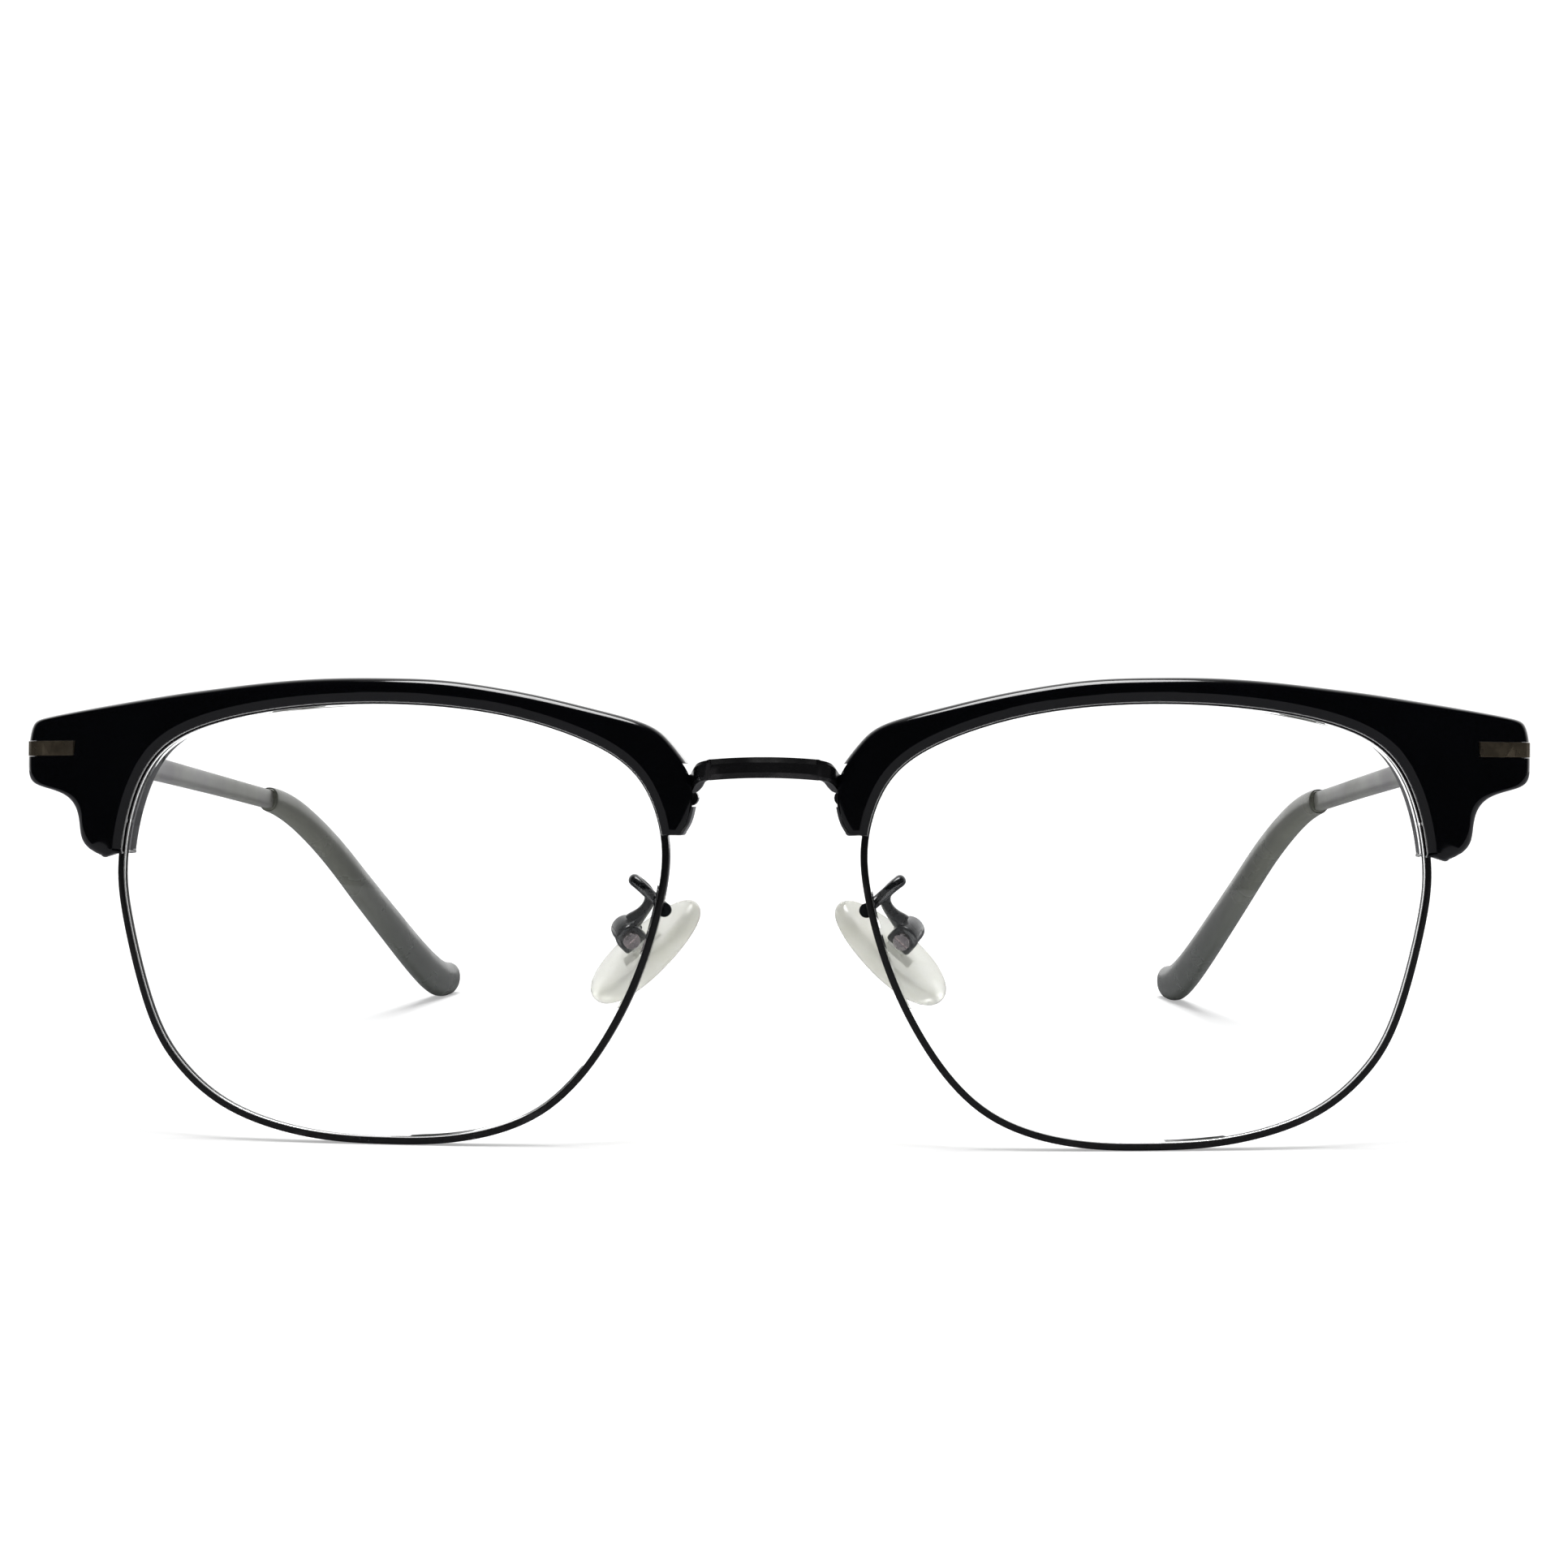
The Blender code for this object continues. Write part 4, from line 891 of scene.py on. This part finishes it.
def build_eyewire_mesh(steps_per_point):
    near, far = WIRE_DEPTHS
    middle = (near + far) / 2.0
    outer, inner = WIRE_ROUNDINGS
    shoulder = WIRE_RADIAL - outer
    section = arc((shoulder, near + outer), (shoulder, near), (WIRE_RADIAL, near + outer), 3)
    section += arc((shoulder, far - outer), (WIRE_RADIAL, far - outer), (shoulder, far), 3)
    section += arc((inner, far - inner), (inner, far), (0.0, far - inner), 2)
    section += [(0.0, middle + GROOVE_HALF), (GROOVE_DEPTH, middle), (0.0, middle - GROOVE_HALF)]
    section += arc((inner, near + inner), (0.0, near + inner), (inner, near), 2)
    bare_from, bare_to = 9, 14
    slots = [1 if bare_from <= i <= bare_to else 0 for i in range(len(section))]
    count = len(OPENING)
    start = opening_place_at(LOCK_Z + LOCK_HALF_GAP)
    end = opening_place_at(LOCK_Z - LOCK_HALF_GAP) + count
    places = np.linspace(start, end, count * steps_per_point)
    rings = [[opening_point(p, a, d) for a, d in section] for p in places]
    return loft("metal_eyewire", rings, slots=slots)


def build_lens_mesh(steps_per_point):
    middle = (LENS_EDGE_DEPTHS[0] + LENS_EDGE_DEPTHS[1]) / 2.0
    edge = [opening_frame(k / steps_per_point) for k in range(len(OPENING) * steps_per_point)]

    def ring(outward, share, depth):
        points = []
        for point, out in edge:
            rim = point + out * outward
            u, z = np.array(LENS_CENTRE) * (1.0 - share) + rim * share
            points.append(place(u, front_y(u, z) + depth, z))
        return points
    front, back = LENS_EDGE_DEPTHS
    shares = (0.1, 0.25, 0.4, 0.55, 0.7, 0.85, 0.97)
    rings = [ring(-LENS_EDGE_GAP, s, front) for s in shares]
    rings += [ring(-LENS_EDGE_GAP - 0.04, 1.0, front), ring(-LENS_EDGE_GAP, 1.0, front + 0.06),
              ring(LENS_BEVEL, 1.0, middle), ring(-LENS_EDGE_GAP, 1.0, back - 0.06),
              ring(-LENS_EDGE_GAP - 0.04, 1.0, back)]
    rings += [ring(-LENS_EDGE_GAP, s, back) for s in reversed(shares)]
    u, z = LENS_CENTRE
    poles = (place(u, front_y(u, z) + front, z), place(u, front_y(u, z) + back, z))
    return loft("clear_lens", rings, poles=poles)


# ---- bridge --------------------------------------------------------------------------------------

def build_bridge_mesh():
    """A faceted bar with a slight arch, and legs that turn back and down into the brows."""
    legs = ring_spline(BRIDGE, False)
    half_bar = BRIDGE[0][0]
    right = [(u, BRIDGE[0][1], BRIDGE[0][2] + BRIDGE_ARCH * (1.0 - (u / half_bar) ** 2))
             for u in np.linspace(0.7, half_bar - 0.15, 6)]
    right += [tuple(legs(s)) for s in np.linspace(0.0, len(BRIDGE) - 1.0, 21)]
    stations = [(-u, y, z) for u, y, z in reversed(right)] + right
    high, deep = BRIDGE_HEIGHT / 2.0, BRIDGE_DEPTH / 2.0
    rings = []
    for k, (u, y, z) in enumerate(stations):
        before, after = stations[max(k - 1, 0)], stations[min(k + 1, len(stations) - 1)]
        turn = math.atan2(after[1] - before[1], after[0] - before[0])
        # the bar's facets are broad, and fade into round legs
        facet = 0.50 if abs(u) < half_bar else 0.30
        tall = high if abs(u) < half_bar + 0.05 else high * 0.94
        section = [(-deep, -tall + facet), (-deep, tall - facet), (-deep + facet * 0.6, tall),
                   (deep - 0.25, tall), (deep, tall - 0.25), (deep, -tall + 0.25), (deep - 0.25, -tall),
                   (-deep + facet * 0.6, -tall)]
        rings.append([place(u - d * math.sin(turn), y + d * math.cos(turn), z + h) for d, h in section])
    return loft("bridge_bar", rings)


# ---- nose pads and their arms --------------------------------------------------------------------

def tube_rings(points, radii, segments):
    """Rings of a round wire along the points, carried smoothly from one to the next."""
    centres = [Vector(p) for p in points]
    last = len(centres) - 1
    side = None
    rings = []
    for k, (centre, radius) in enumerate(zip(centres, radii)):
        tangent = (centres[min(k + 1, last)] - centres[max(k - 1, 0)]).normalized()
        if side is None:
            side = tangent.orthogonal()
        side = (side - side.dot(tangent) * tangent).normalized()
        other = tangent.cross(side)
        rings.append([centre + (side * math.cos(a) + other * math.sin(a)) * radius * MM
                      for a in (2.0 * math.pi * i / segments for i in range(segments))])
    return rings


def build_pad_arm_mesh():
    """Wire soldered to the eyewire's back, up to a tight turn, back behind itself and down into the box."""
    start_u, start_z = PAD_ARM[0]
    back = front_y(start_u - 0.4, start_z) + WIRE_DEPTHS[1]
    box = pad_box_frame()
    route = [place(start_u, back - 0.05, start_z), place(start_u + 0.02, back + 0.9, start_z + 0.05)]
    route += [place(*point) for point in PAD_ARM[1:]]
    route += [box @ (Vector((-PAD_BOX[0] - reach, PAD_ARM_ENTRY, 0.0)) * MM) for reach in (0.7, -0.3)]
    path = ring_spline([tuple(p) for p in route], False)
    last = len(route) - 1
    places = np.linspace(0.0, last, last * 8 + 1)
    wire = PAD_ARM_WIRE / 2.0
    radii = []
    for s in places:
        solder = 0.16 * math.exp(-(s / 0.55) ** 2)
        flare = 0.34 * math.exp(-((s - last) / 1.1) ** 2)
        turn = 0.05 * math.exp(-((s - 5.0) / 0.9) ** 2)
        radii.append(wire + solder + flare + turn)
    return loft("wire_pad_arm", tube_rings([path(s) for s in places], radii, 20))


def build_pad_box():
    """A small cast box: flat and slotted on the pad's side, rounded on the other."""
    a, b, c = PAD_BOX
    outline = [(-a, 1.1), (-a, 0.1)]
    for k in range(1, 12):
        turn = math.pi * k / 12.0
        outline.append((-a * math.cos(turn), 0.1 - (b + 0.1) * math.sin(turn) ** 0.8))
    outline += [(a, 0.1), (a, 1.1)]
    matrix = pad_box_frame()
    box = new_piece("cast_pad_box", slab_mesh("cast_pad_box", outline, -c, c, matrix),
                    [finished(slate_plating)])
    round_edges(box, 0.32, 4, 30.0)
    apply_modifiers(box)
    cut(box, [box_mesh("slot", (-3.0, -0.75, -PAD_SLOT_HALF), (3.0, 3.0, PAD_SLOT_HALF), matrix),
              rod_mesh("hole", PAD_SCREW_RADIUS + 0.05, (0.0, 0.0, -3.0), (0.0, 0.0, 3.0), matrix)])
    return box


def build_pad_mesh(segments, rows):
    """A teardrop of soft silicone, domed towards the nose."""
    matrix = pad_frame()
    half_long, half_wide, thick = PAD_SIZE[0] / 2.0, PAD_SIZE[1] / 2.0, PAD_SIZE[2]
    levels = ring_spline(PAD_LEVELS, False)
    rings = []
    for s in np.linspace(0.0, len(PAD_LEVELS) - 1.0, rows):
        height, share = levels(s)
        ring = []
        for k in range(segments):
            angle = 2.0 * math.pi * k / segments
            along = math.cos(angle)
            wide = half_wide * (1.0 + 0.16 * along)
            ring.append(matrix @ (Vector((half_long * share * along, thick * height,
                                          wide * share * math.sin(angle))) * MM))
        rings.append(ring)
    top = matrix @ (Vector((0.0, thick * 0.515, 0.0)) * MM)
    return loft("silicone_pad", rings, poles=(None, top))


# ---- temples -------------------------------------------------------------------------------------

def temple_ring(line, y, height, thickness, squareness, count):
    """A rounded cross-section of the temple, square to its centre line."""
    z = line(y)
    slope = (line(y + 0.5) - line(y - 0.5))
    along = Vector((-TEMPLE_TOE_IN, 1.0, slope)).normalized()
    out = Vector((1.0, TEMPLE_TOE_IN, 0.0)).normalized()
    up = out.cross(along).normalized()
    centre = Vector((TEMPLE_U_FRONT - TEMPLE_TOE_IN * (y - 15.0), y, z))
    ring = []
    for k in range(count):
        angle = 2.0 * math.pi * (k + 0.5) / count
        c, s = math.cos(angle), math.sin(angle)
        reach = (abs(c) ** squareness + abs(s) ** squareness) ** (-1.0 / squareness)
        point = centre + out * (thickness / 2.0 * reach * c) + up * (height / 2.0 * reach * s)
        ring.append(place(*point))
    return ring


def centre_line():
    """Height of the temple's centre line as a function of y."""
    ys = np.array([y for y, _ in CENTRE_LINE])
    curve = ring_spline(CENTRE_LINE, False)
    places = np.linspace(0.0, len(CENTRE_LINE) - 1.0, 900)
    samples = np.array([curve(p) for p in places])

    def at(y):
        if y < ys[0]:
            return CENTRE_LINE[0][1] + (ys[0] - y) * TEMPLE_SLOPE
        return float(np.interp(y, samples[:, 0], samples[:, 1]))
    return at


def sampled(stations, steps):
    """The stations (y, height, thickness), with steps - 1 smooth ones between each pair."""
    path = ring_spline(stations, False)
    count = (len(stations) - 1) * steps
    return [tuple(path(k / steps)) for k in range(count + 1)]


def build_shaft_mesh():
    line = centre_line()
    rings = []
    for k, (y, height, thickness) in enumerate(sampled(SHAFT, 8)):
        ring = temple_ring(line, y, height, thickness, 4.0, 40)
        if k == 0:
            ends = [(p.x / MM, p.z / MM) for p in ring]
            ring = [place(u, end_back_y(u, z) + MITRE_GAP, z) for u, z in ends]
        rings.append(ring)
    y, height, thickness = SHAFT[-1]
    rings.append(temple_ring(line, y + 0.7, height * 0.9, thickness * 0.9, 4.0, 40))
    return loft("painted_shaft", rings)


def build_tip_mesh():
    line = centre_line()
    y, height, thickness = SLEEVE[0]
    rings = [temple_ring(line, y, height * share, thickness * share, 2.3, 40) for share in (0.45, 0.86)]
    rings += [temple_ring(line, y + 0.1, height * 0.95, thickness * 0.95, 2.3, 40),
              temple_ring(line, y + 0.3, height * 0.99, thickness * 0.99, 2.3, 40)]
    rings += [temple_ring(line, s, h, t, 2.3, 40) for s, h, t in sampled(SLEEVE, 8)[1:]]
    y, height, thickness = SLEEVE[-1]
    for k in range(1, 15):
        turn = math.radians(90.0) * k / 15.0
        there = y + (SLEEVE_END - y) * math.sin(turn)
        rings.append(temple_ring(line, there, height * math.cos(turn), thickness * math.cos(turn) ** 0.8,
                                 2.3, 40))
    pole = place(TEMPLE_U_FRONT - TEMPLE_TOE_IN * (SLEEVE_END - 15.0), SLEEVE_END, line(SLEEVE_END))
    return loft("moulded_tip", rings, poles=(None, pole))


# ---- settings ------------------------------------------------------------------------------------

def colour_property(name, description, default):
    return FloatVectorProperty(name=name, description=description, default=default, subtype='COLOR', size=3,
                               min=0.0, max=1.0)


class BrowSettings(bpy.types.PropertyGroup):
    colour: colour_property("Acetate", "Colour of the acetate brows", (0.0012, 0.0014, 0.0022))
    roughness: FloatProperty(name="Roughness", description="How matt the polished acetate is", default=0.07,
                             min=0.0, max=1.0, subtype='FACTOR')
    rings: IntProperty(name="Sections", description="Cross-sections along each brow", default=190, min=60,
                       max=400)


class WireSettings(bpy.types.PropertyGroup):
    colour: colour_property("Enamel", "Colour of the black enamel on the eyewires and bridge",
                            (0.0030, 0.0030, 0.0034))
    inner_colour: colour_property("Bare Edge", "Colour of the eyewire's bare inner face", (0.56, 0.47, 0.46))
    roughness: FloatProperty(name="Roughness", description="How matt the enamel is", default=0.16, min=0.0,
                             max=1.0, subtype='FACTOR')
    steps: IntProperty(name="Steps", description="Cross-sections between two points of the lens outline",
                       default=9, min=3, max=16)


class LensSettings(bpy.types.PropertyGroup):
    refraction: FloatProperty(name="Refraction", description="Refractive index of the lens", default=1.12,
                              min=1.0, max=1.9)
    steps: IntProperty(name="Steps", description="Points between two points of the lens outline", default=8,
                       min=3, max=16)


class PadSettings(bpy.types.PropertyGroup):
    silicone_colour: colour_property("Silicone", "Colour of the clear silicone", (0.93, 0.93, 0.89))
    clearness: FloatProperty(name="Clearness", description="Share of light that passes into the silicone",
                             default=0.55, min=0.0, max=1.0, subtype='FACTOR')
    arm_colour: colour_property("Arm", "Colour of the pad arm and box", (0.011, 0.013, 0.015))


class TempleSettings(bpy.types.PropertyGroup):
    shaft_colour: colour_property("Shaft", "Colour of the painted temple shaft", (0.30, 0.30, 0.29))
    tip_colour: colour_property("Tip", "Colour of the temple tip where it meets the shaft",
                                (0.112, 0.115, 0.096))


class HardwareSettings(bpy.types.PropertyGroup):
    inlay_colour: colour_property("Bar", "Colour of the metal bar in the end piece", (0.20, 0.165, 0.115))
    edge_rounding: FloatProperty(name="Edge Rounding", description="Rounding of the small parts' edges",
                                 default=0.07 * MM, min=0.0, max=0.3 * MM, unit='LENGTH')


class StageSettings(bpy.types.PropertyGroup):
    focal_length: FloatProperty(name="Focal Length", description="Focal length of the camera", default=45.9,
                                min=20.0, max=120.0, unit='CAMERA')
    floor_colour: colour_property("Floor", "Colour of the floor", (0.90, 0.90, 0.90))
    floor_glow: FloatProperty(name="Floor Glow", description="Light that the floor gives off", default=0.38,
                              min=0.0, max=2.0)
    key_strength: FloatProperty(name="Key Light", description="Strength of the soft overhead light",
                                default=2.4, min=0.0, max=20.0)
    wall_strength: FloatProperty(name="White Wall", description="Brightness of the white wall behind",
                                 default=1.15, min=0.0, max=5.0)


# ---- operators -----------------------------------------------------------------------------------

class GLASSES_OT_brows(bpy.types.Operator):
    """Build the acetate brows with their end pieces"""
    bl_idname = "glasses.brows"
    bl_label = "Acetate Brows"

    def execute(self, context):
        brow = new_piece("acetate_brow", build_brow_mesh(context.scene.glasses_brow.rings),
                         [finished(polished_acetate)])
        cut(brow, brow_cuts())
        even_normals(brow)
        both_sides(brow, "acetate_brow", FRONT_BODY, ["brow"])
        return {'FINISHED'}


class GLASSES_OT_eyewires(bpy.types.Operator):
    """Build the metal eyewires round the lenses"""
    bl_idname = "glasses.eyewires"
    bl_label = "Eyewires"

    def execute(self, context):
        wire = new_piece("metal_eyewire", build_eyewire_mesh(context.scene.glasses_wire.steps),
                         [finished(gloss_enamel), finished(bare_wire)])
        both_sides(wire, "metal_eyewire", FRONT_BODY, ["eyewire"])
        return {'FINISHED'}


class GLASSES_OT_lenses(bpy.types.Operator):
    """Build the two clear lenses"""
    bl_idname = "glasses.lenses"
    bl_label = "Lenses"

    def execute(self, context):
        lens = new_piece("clear_lens", build_lens_mesh(context.scene.glasses_lenses.steps),
                         [finished(coated_glass)])
        both_sides(lens, "clear_lens", FRONT_BODY, ["lens"])
        return {'FINISHED'}


class GLASSES_OT_bridge(bpy.types.Operator):
    """Build the faceted bridge bar"""
    bl_idname = "glasses.bridge"
    bl_label = "Bridge"

    def execute(self, context):
        bar = new_piece("bridge_bar", build_bridge_mesh(), [finished(gloss_enamel)])
        round_edges(bar, 0.07, 2, 18.0)
        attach(bar, FRONT_BODY)
        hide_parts("bridge")
        return {'FINISHED'}


class GLASSES_OT_pads(bpy.types.Operator):
    """Build the nose pads with their wire arms and boxes"""
    bl_idname = "glasses.pads"
    bl_label = "Nose Pads"

    def execute(self, context):
        arm = new_piece("wire_pad_arm", build_pad_arm_mesh(), [finished(slate_plating)])
        both_sides(arm, "wire_pad_arm", FRONT_BODY, ["pad_arm"])
        both_sides(build_pad_box(), "cast_pad_box", FRONT_BODY, ["pad_box"])
        pad = new_piece("silicone_pad", build_pad_mesh(64, 25), [finished(moulded_silicone)])
        both_sides(pad, "silicone_pad", "pad", ["nose_pad"])
        return {'FINISHED'}


class GLASSES_OT_temples(bpy.types.Operator):
    """Build the temple shafts and their moulded tips"""
    bl_idname = "glasses.temples"
    bl_label = "Temples"

    def execute(self, context):
        shaft = new_piece("painted_shaft", build_shaft_mesh(), [finished(grey_lacquer)])
        both_sides(shaft, "painted_shaft", "temple", ["temple_shaft"])
        tip = new_piece("moulded_tip", build_tip_mesh(), [finished(smoky_tip)])
        both_sides(tip, "moulded_tip", "temple", ["temple_tip"])
        return {'FINISHED'}


SMALL_PARTS = {
    "brow_lug": gloss_enamel, "rim_lock_upper": gloss_enamel, "rim_lock_lower": gloss_enamel,
    "brow_screw": turned_steel, "rim_lock_screw": turned_steel, "pad_screw": turned_steel,
    "hinge_screw": turned_steel, "end_inlay": brushed_bronze, "end_hinge": grey_lacquer,
    "temple_hinge": grey_lacquer, "pad_core": white_nylon,
}


class GLASSES_OT_small_parts(bpy.types.Operator):
    """Finish the hinges, screws, locks, inlaid bars and pad cores"""
    bl_idname = "glasses.small_parts"
    bl_label = "Small Parts"

    def execute(self, context):
        rounding = context.scene.glasses_hardware.edge_rounding
        for base, make in SMALL_PARTS.items():
            for side in SIDES:
                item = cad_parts[f"{base}_{side}"]
                item.data.materials.clear()
                item.data.materials.append(finished(make))
                weld = item.modifiers.new("joined corners", 'WELD')
                weld.merge_threshold = 0.002 * MM
                round_edges(item, rounding / MM, 2, 30.0)
        return {'FINISHED'}


class GLASSES_OT_stage(bpy.types.Operator):
    """Set up the pale floor, the soft light and the camera"""
    bl_idname = "glasses.stage"
    bl_label = "Stage"

    def execute(self, context):
        look = context.scene.glasses_stage
        self.add_floor(look)
        self.add_light(context.scene, look)
        self.add_camera(context.scene, look)
        context.scene.view_settings.view_transform = 'Standard'
        return {'FINISHED'}

    def add_floor(self, look):
        bm = bmesh.new()
        bmesh.ops.create_grid(bm, x_segments=2, y_segments=2, size=6.0)
        bmesh.ops.translate(bm, vec=(0.0, 0.0, CAD_LOW.z - FLOOR_GAP * MM), verts=bm.verts)
        material = bpy.data.materials.new("pale_floor")
        material.use_nodes = True
        tree = material.node_tree
        shader = tree.nodes['Principled BSDF']
        shader.inputs['Base Color'].default_value = (*look.floor_colour, 1.0)
        shader.inputs['Roughness'].default_value = 0.9
        shader.inputs['Specular IOR Level'].default_value = 0.0
        shader.inputs['Emission Color'].default_value = (1.0, 1.0, 1.0, 1.0)
        shader.inputs['Emission Strength'].default_value = look.floor_glow
        # the floor is dimmer in reflections, as the dark room in front of the table makes it
        rays = tree.nodes.new('ShaderNodeLightPath')
        dim = tree.nodes.new('ShaderNodeBsdfDiffuse')
        dim.inputs['Color'].default_value = (0.22, 0.22, 0.23, 1.0)
        reflected = multiplied(tree, rays.outputs['Is Glossy Ray'], rays.outputs['Is Reflection Ray'])
        mixed_shader(tree, reflected, shader.outputs['BSDF'], dim.outputs['BSDF'],
                     tree.nodes['Material Output'])
        new_piece("floor", mesh_from(bm, "floor"), [material])

    def add_light(self, scene, look):
        key = bpy.data.lights.new("overhead_light", 'SUN')
        key.energy = look.key_strength
        key.angle = math.radians(KEY_ANGLE)
        lamp = bpy.data.objects.new("overhead_light", key)
        scene.collection.objects.link(lamp)
        world = bpy.data.worlds.new("studio")
        scene.world = world
        world.use_nodes = True
        tree = world.node_tree
        tree.nodes.clear()
        output = tree.nodes.new('ShaderNodeOutputWorld')
        rays = tree.nodes.new('ShaderNodeLightPath')
        where = tree.nodes.new('ShaderNodeTexCoord')
        split = tree.nodes.new('ShaderNodeSeparateXYZ')
        tree.links.new(where.outputs['Generated'], split.inputs[0])
        # a dark room in front of the glasses and a white wall behind them
        ramp = smooth_range(tree, split.outputs['Y'], 0.0, 0.90)
        ramp.inputs['To Min'].default_value = 0.01
        ramp.inputs['To Max'].default_value = look.wall_strength
        seen = tree.nodes.new('ShaderNodeBackground')
        seen.inputs['Strength'].default_value = look.wall_strength
        room = tree.nodes.new('ShaderNodeBackground')
        for background in (seen, room):
            background.inputs['Color'].default_value = (1.0, 1.0, 1.0, 1.0)
        tree.links.new(ramp.outputs['Result'], room.inputs['Strength'])
        mixed_shader(tree, rays.outputs['Is Camera Ray'], room.outputs[0], seen.outputs[0], output)

    def add_camera(self, scene, look):
        data = bpy.data.cameras.new("camera")
        data.lens = look.focal_length
        data.sensor_width = 36.0
        data.clip_start = 0.01
        camera = bpy.data.objects.new("camera", data)
        camera.location = CAMERA_PLACE
        camera.rotation_euler = [math.radians(angle) for angle in CAMERA_TURN]
        scene.collection.objects.link(camera)
        scene.camera = camera


class GLASSES_PT_panel(bpy.types.Panel):
    """Lists the pieces of the eyeglasses and their settings"""
    bl_idname = "GLASSES_PT_panel"
    bl_label = "Half Rim Eyeglasses"
    bl_space_type = 'VIEW_3D'
    bl_region_type = 'UI'
    bl_category = "Eyeglasses"

    def draw(self, context):
        for settings, operator in PANEL_ROWS:
            box = self.layout.box()
            box.operator(operator.bl_idname)
            group = getattr(context.scene, settings)
            for key in group.bl_rna.properties.keys():
                if key not in {"rna_type", "name"}:
                    box.prop(group, key)


SETTINGS = {
    "glasses_stage": StageSettings, "glasses_brow": BrowSettings, "glasses_wire": WireSettings,
    "glasses_lenses": LensSettings, "glasses_pads": PadSettings, "glasses_temples": TempleSettings,
    "glasses_hardware": HardwareSettings,
}
PANEL_ROWS = [
    ("glasses_stage", GLASSES_OT_stage), ("glasses_brow", GLASSES_OT_brows),
    ("glasses_wire", GLASSES_OT_eyewires), ("glasses_lenses", GLASSES_OT_lenses),
    ("glasses_wire", GLASSES_OT_bridge), ("glasses_pads", GLASSES_OT_pads),
    ("glasses_temples", GLASSES_OT_temples), ("glasses_hardware", GLASSES_OT_small_parts),
]
OPERATORS = [operator for _, operator in PANEL_ROWS]


def register():
    for cls in (*SETTINGS.values(), *OPERATORS, GLASSES_PT_panel):
        bpy.utils.register_class(cls)
    for name, cls in SETTINGS.items():
        setattr(bpy.types.Scene, name, PointerProperty(type=cls))


def unregister():
    for name in SETTINGS:
        delattr(bpy.types.Scene, name)
    for cls in reversed((*SETTINGS.values(), *OPERATORS, GLASSES_PT_panel)):
        bpy.utils.unregister_class(cls)


def main():
    register()
    for operator in OPERATORS:
        module, name = operator.bl_idname.split(".")
        getattr(getattr(bpy.ops, module), name)()


if __name__ == "__main__":
    main()
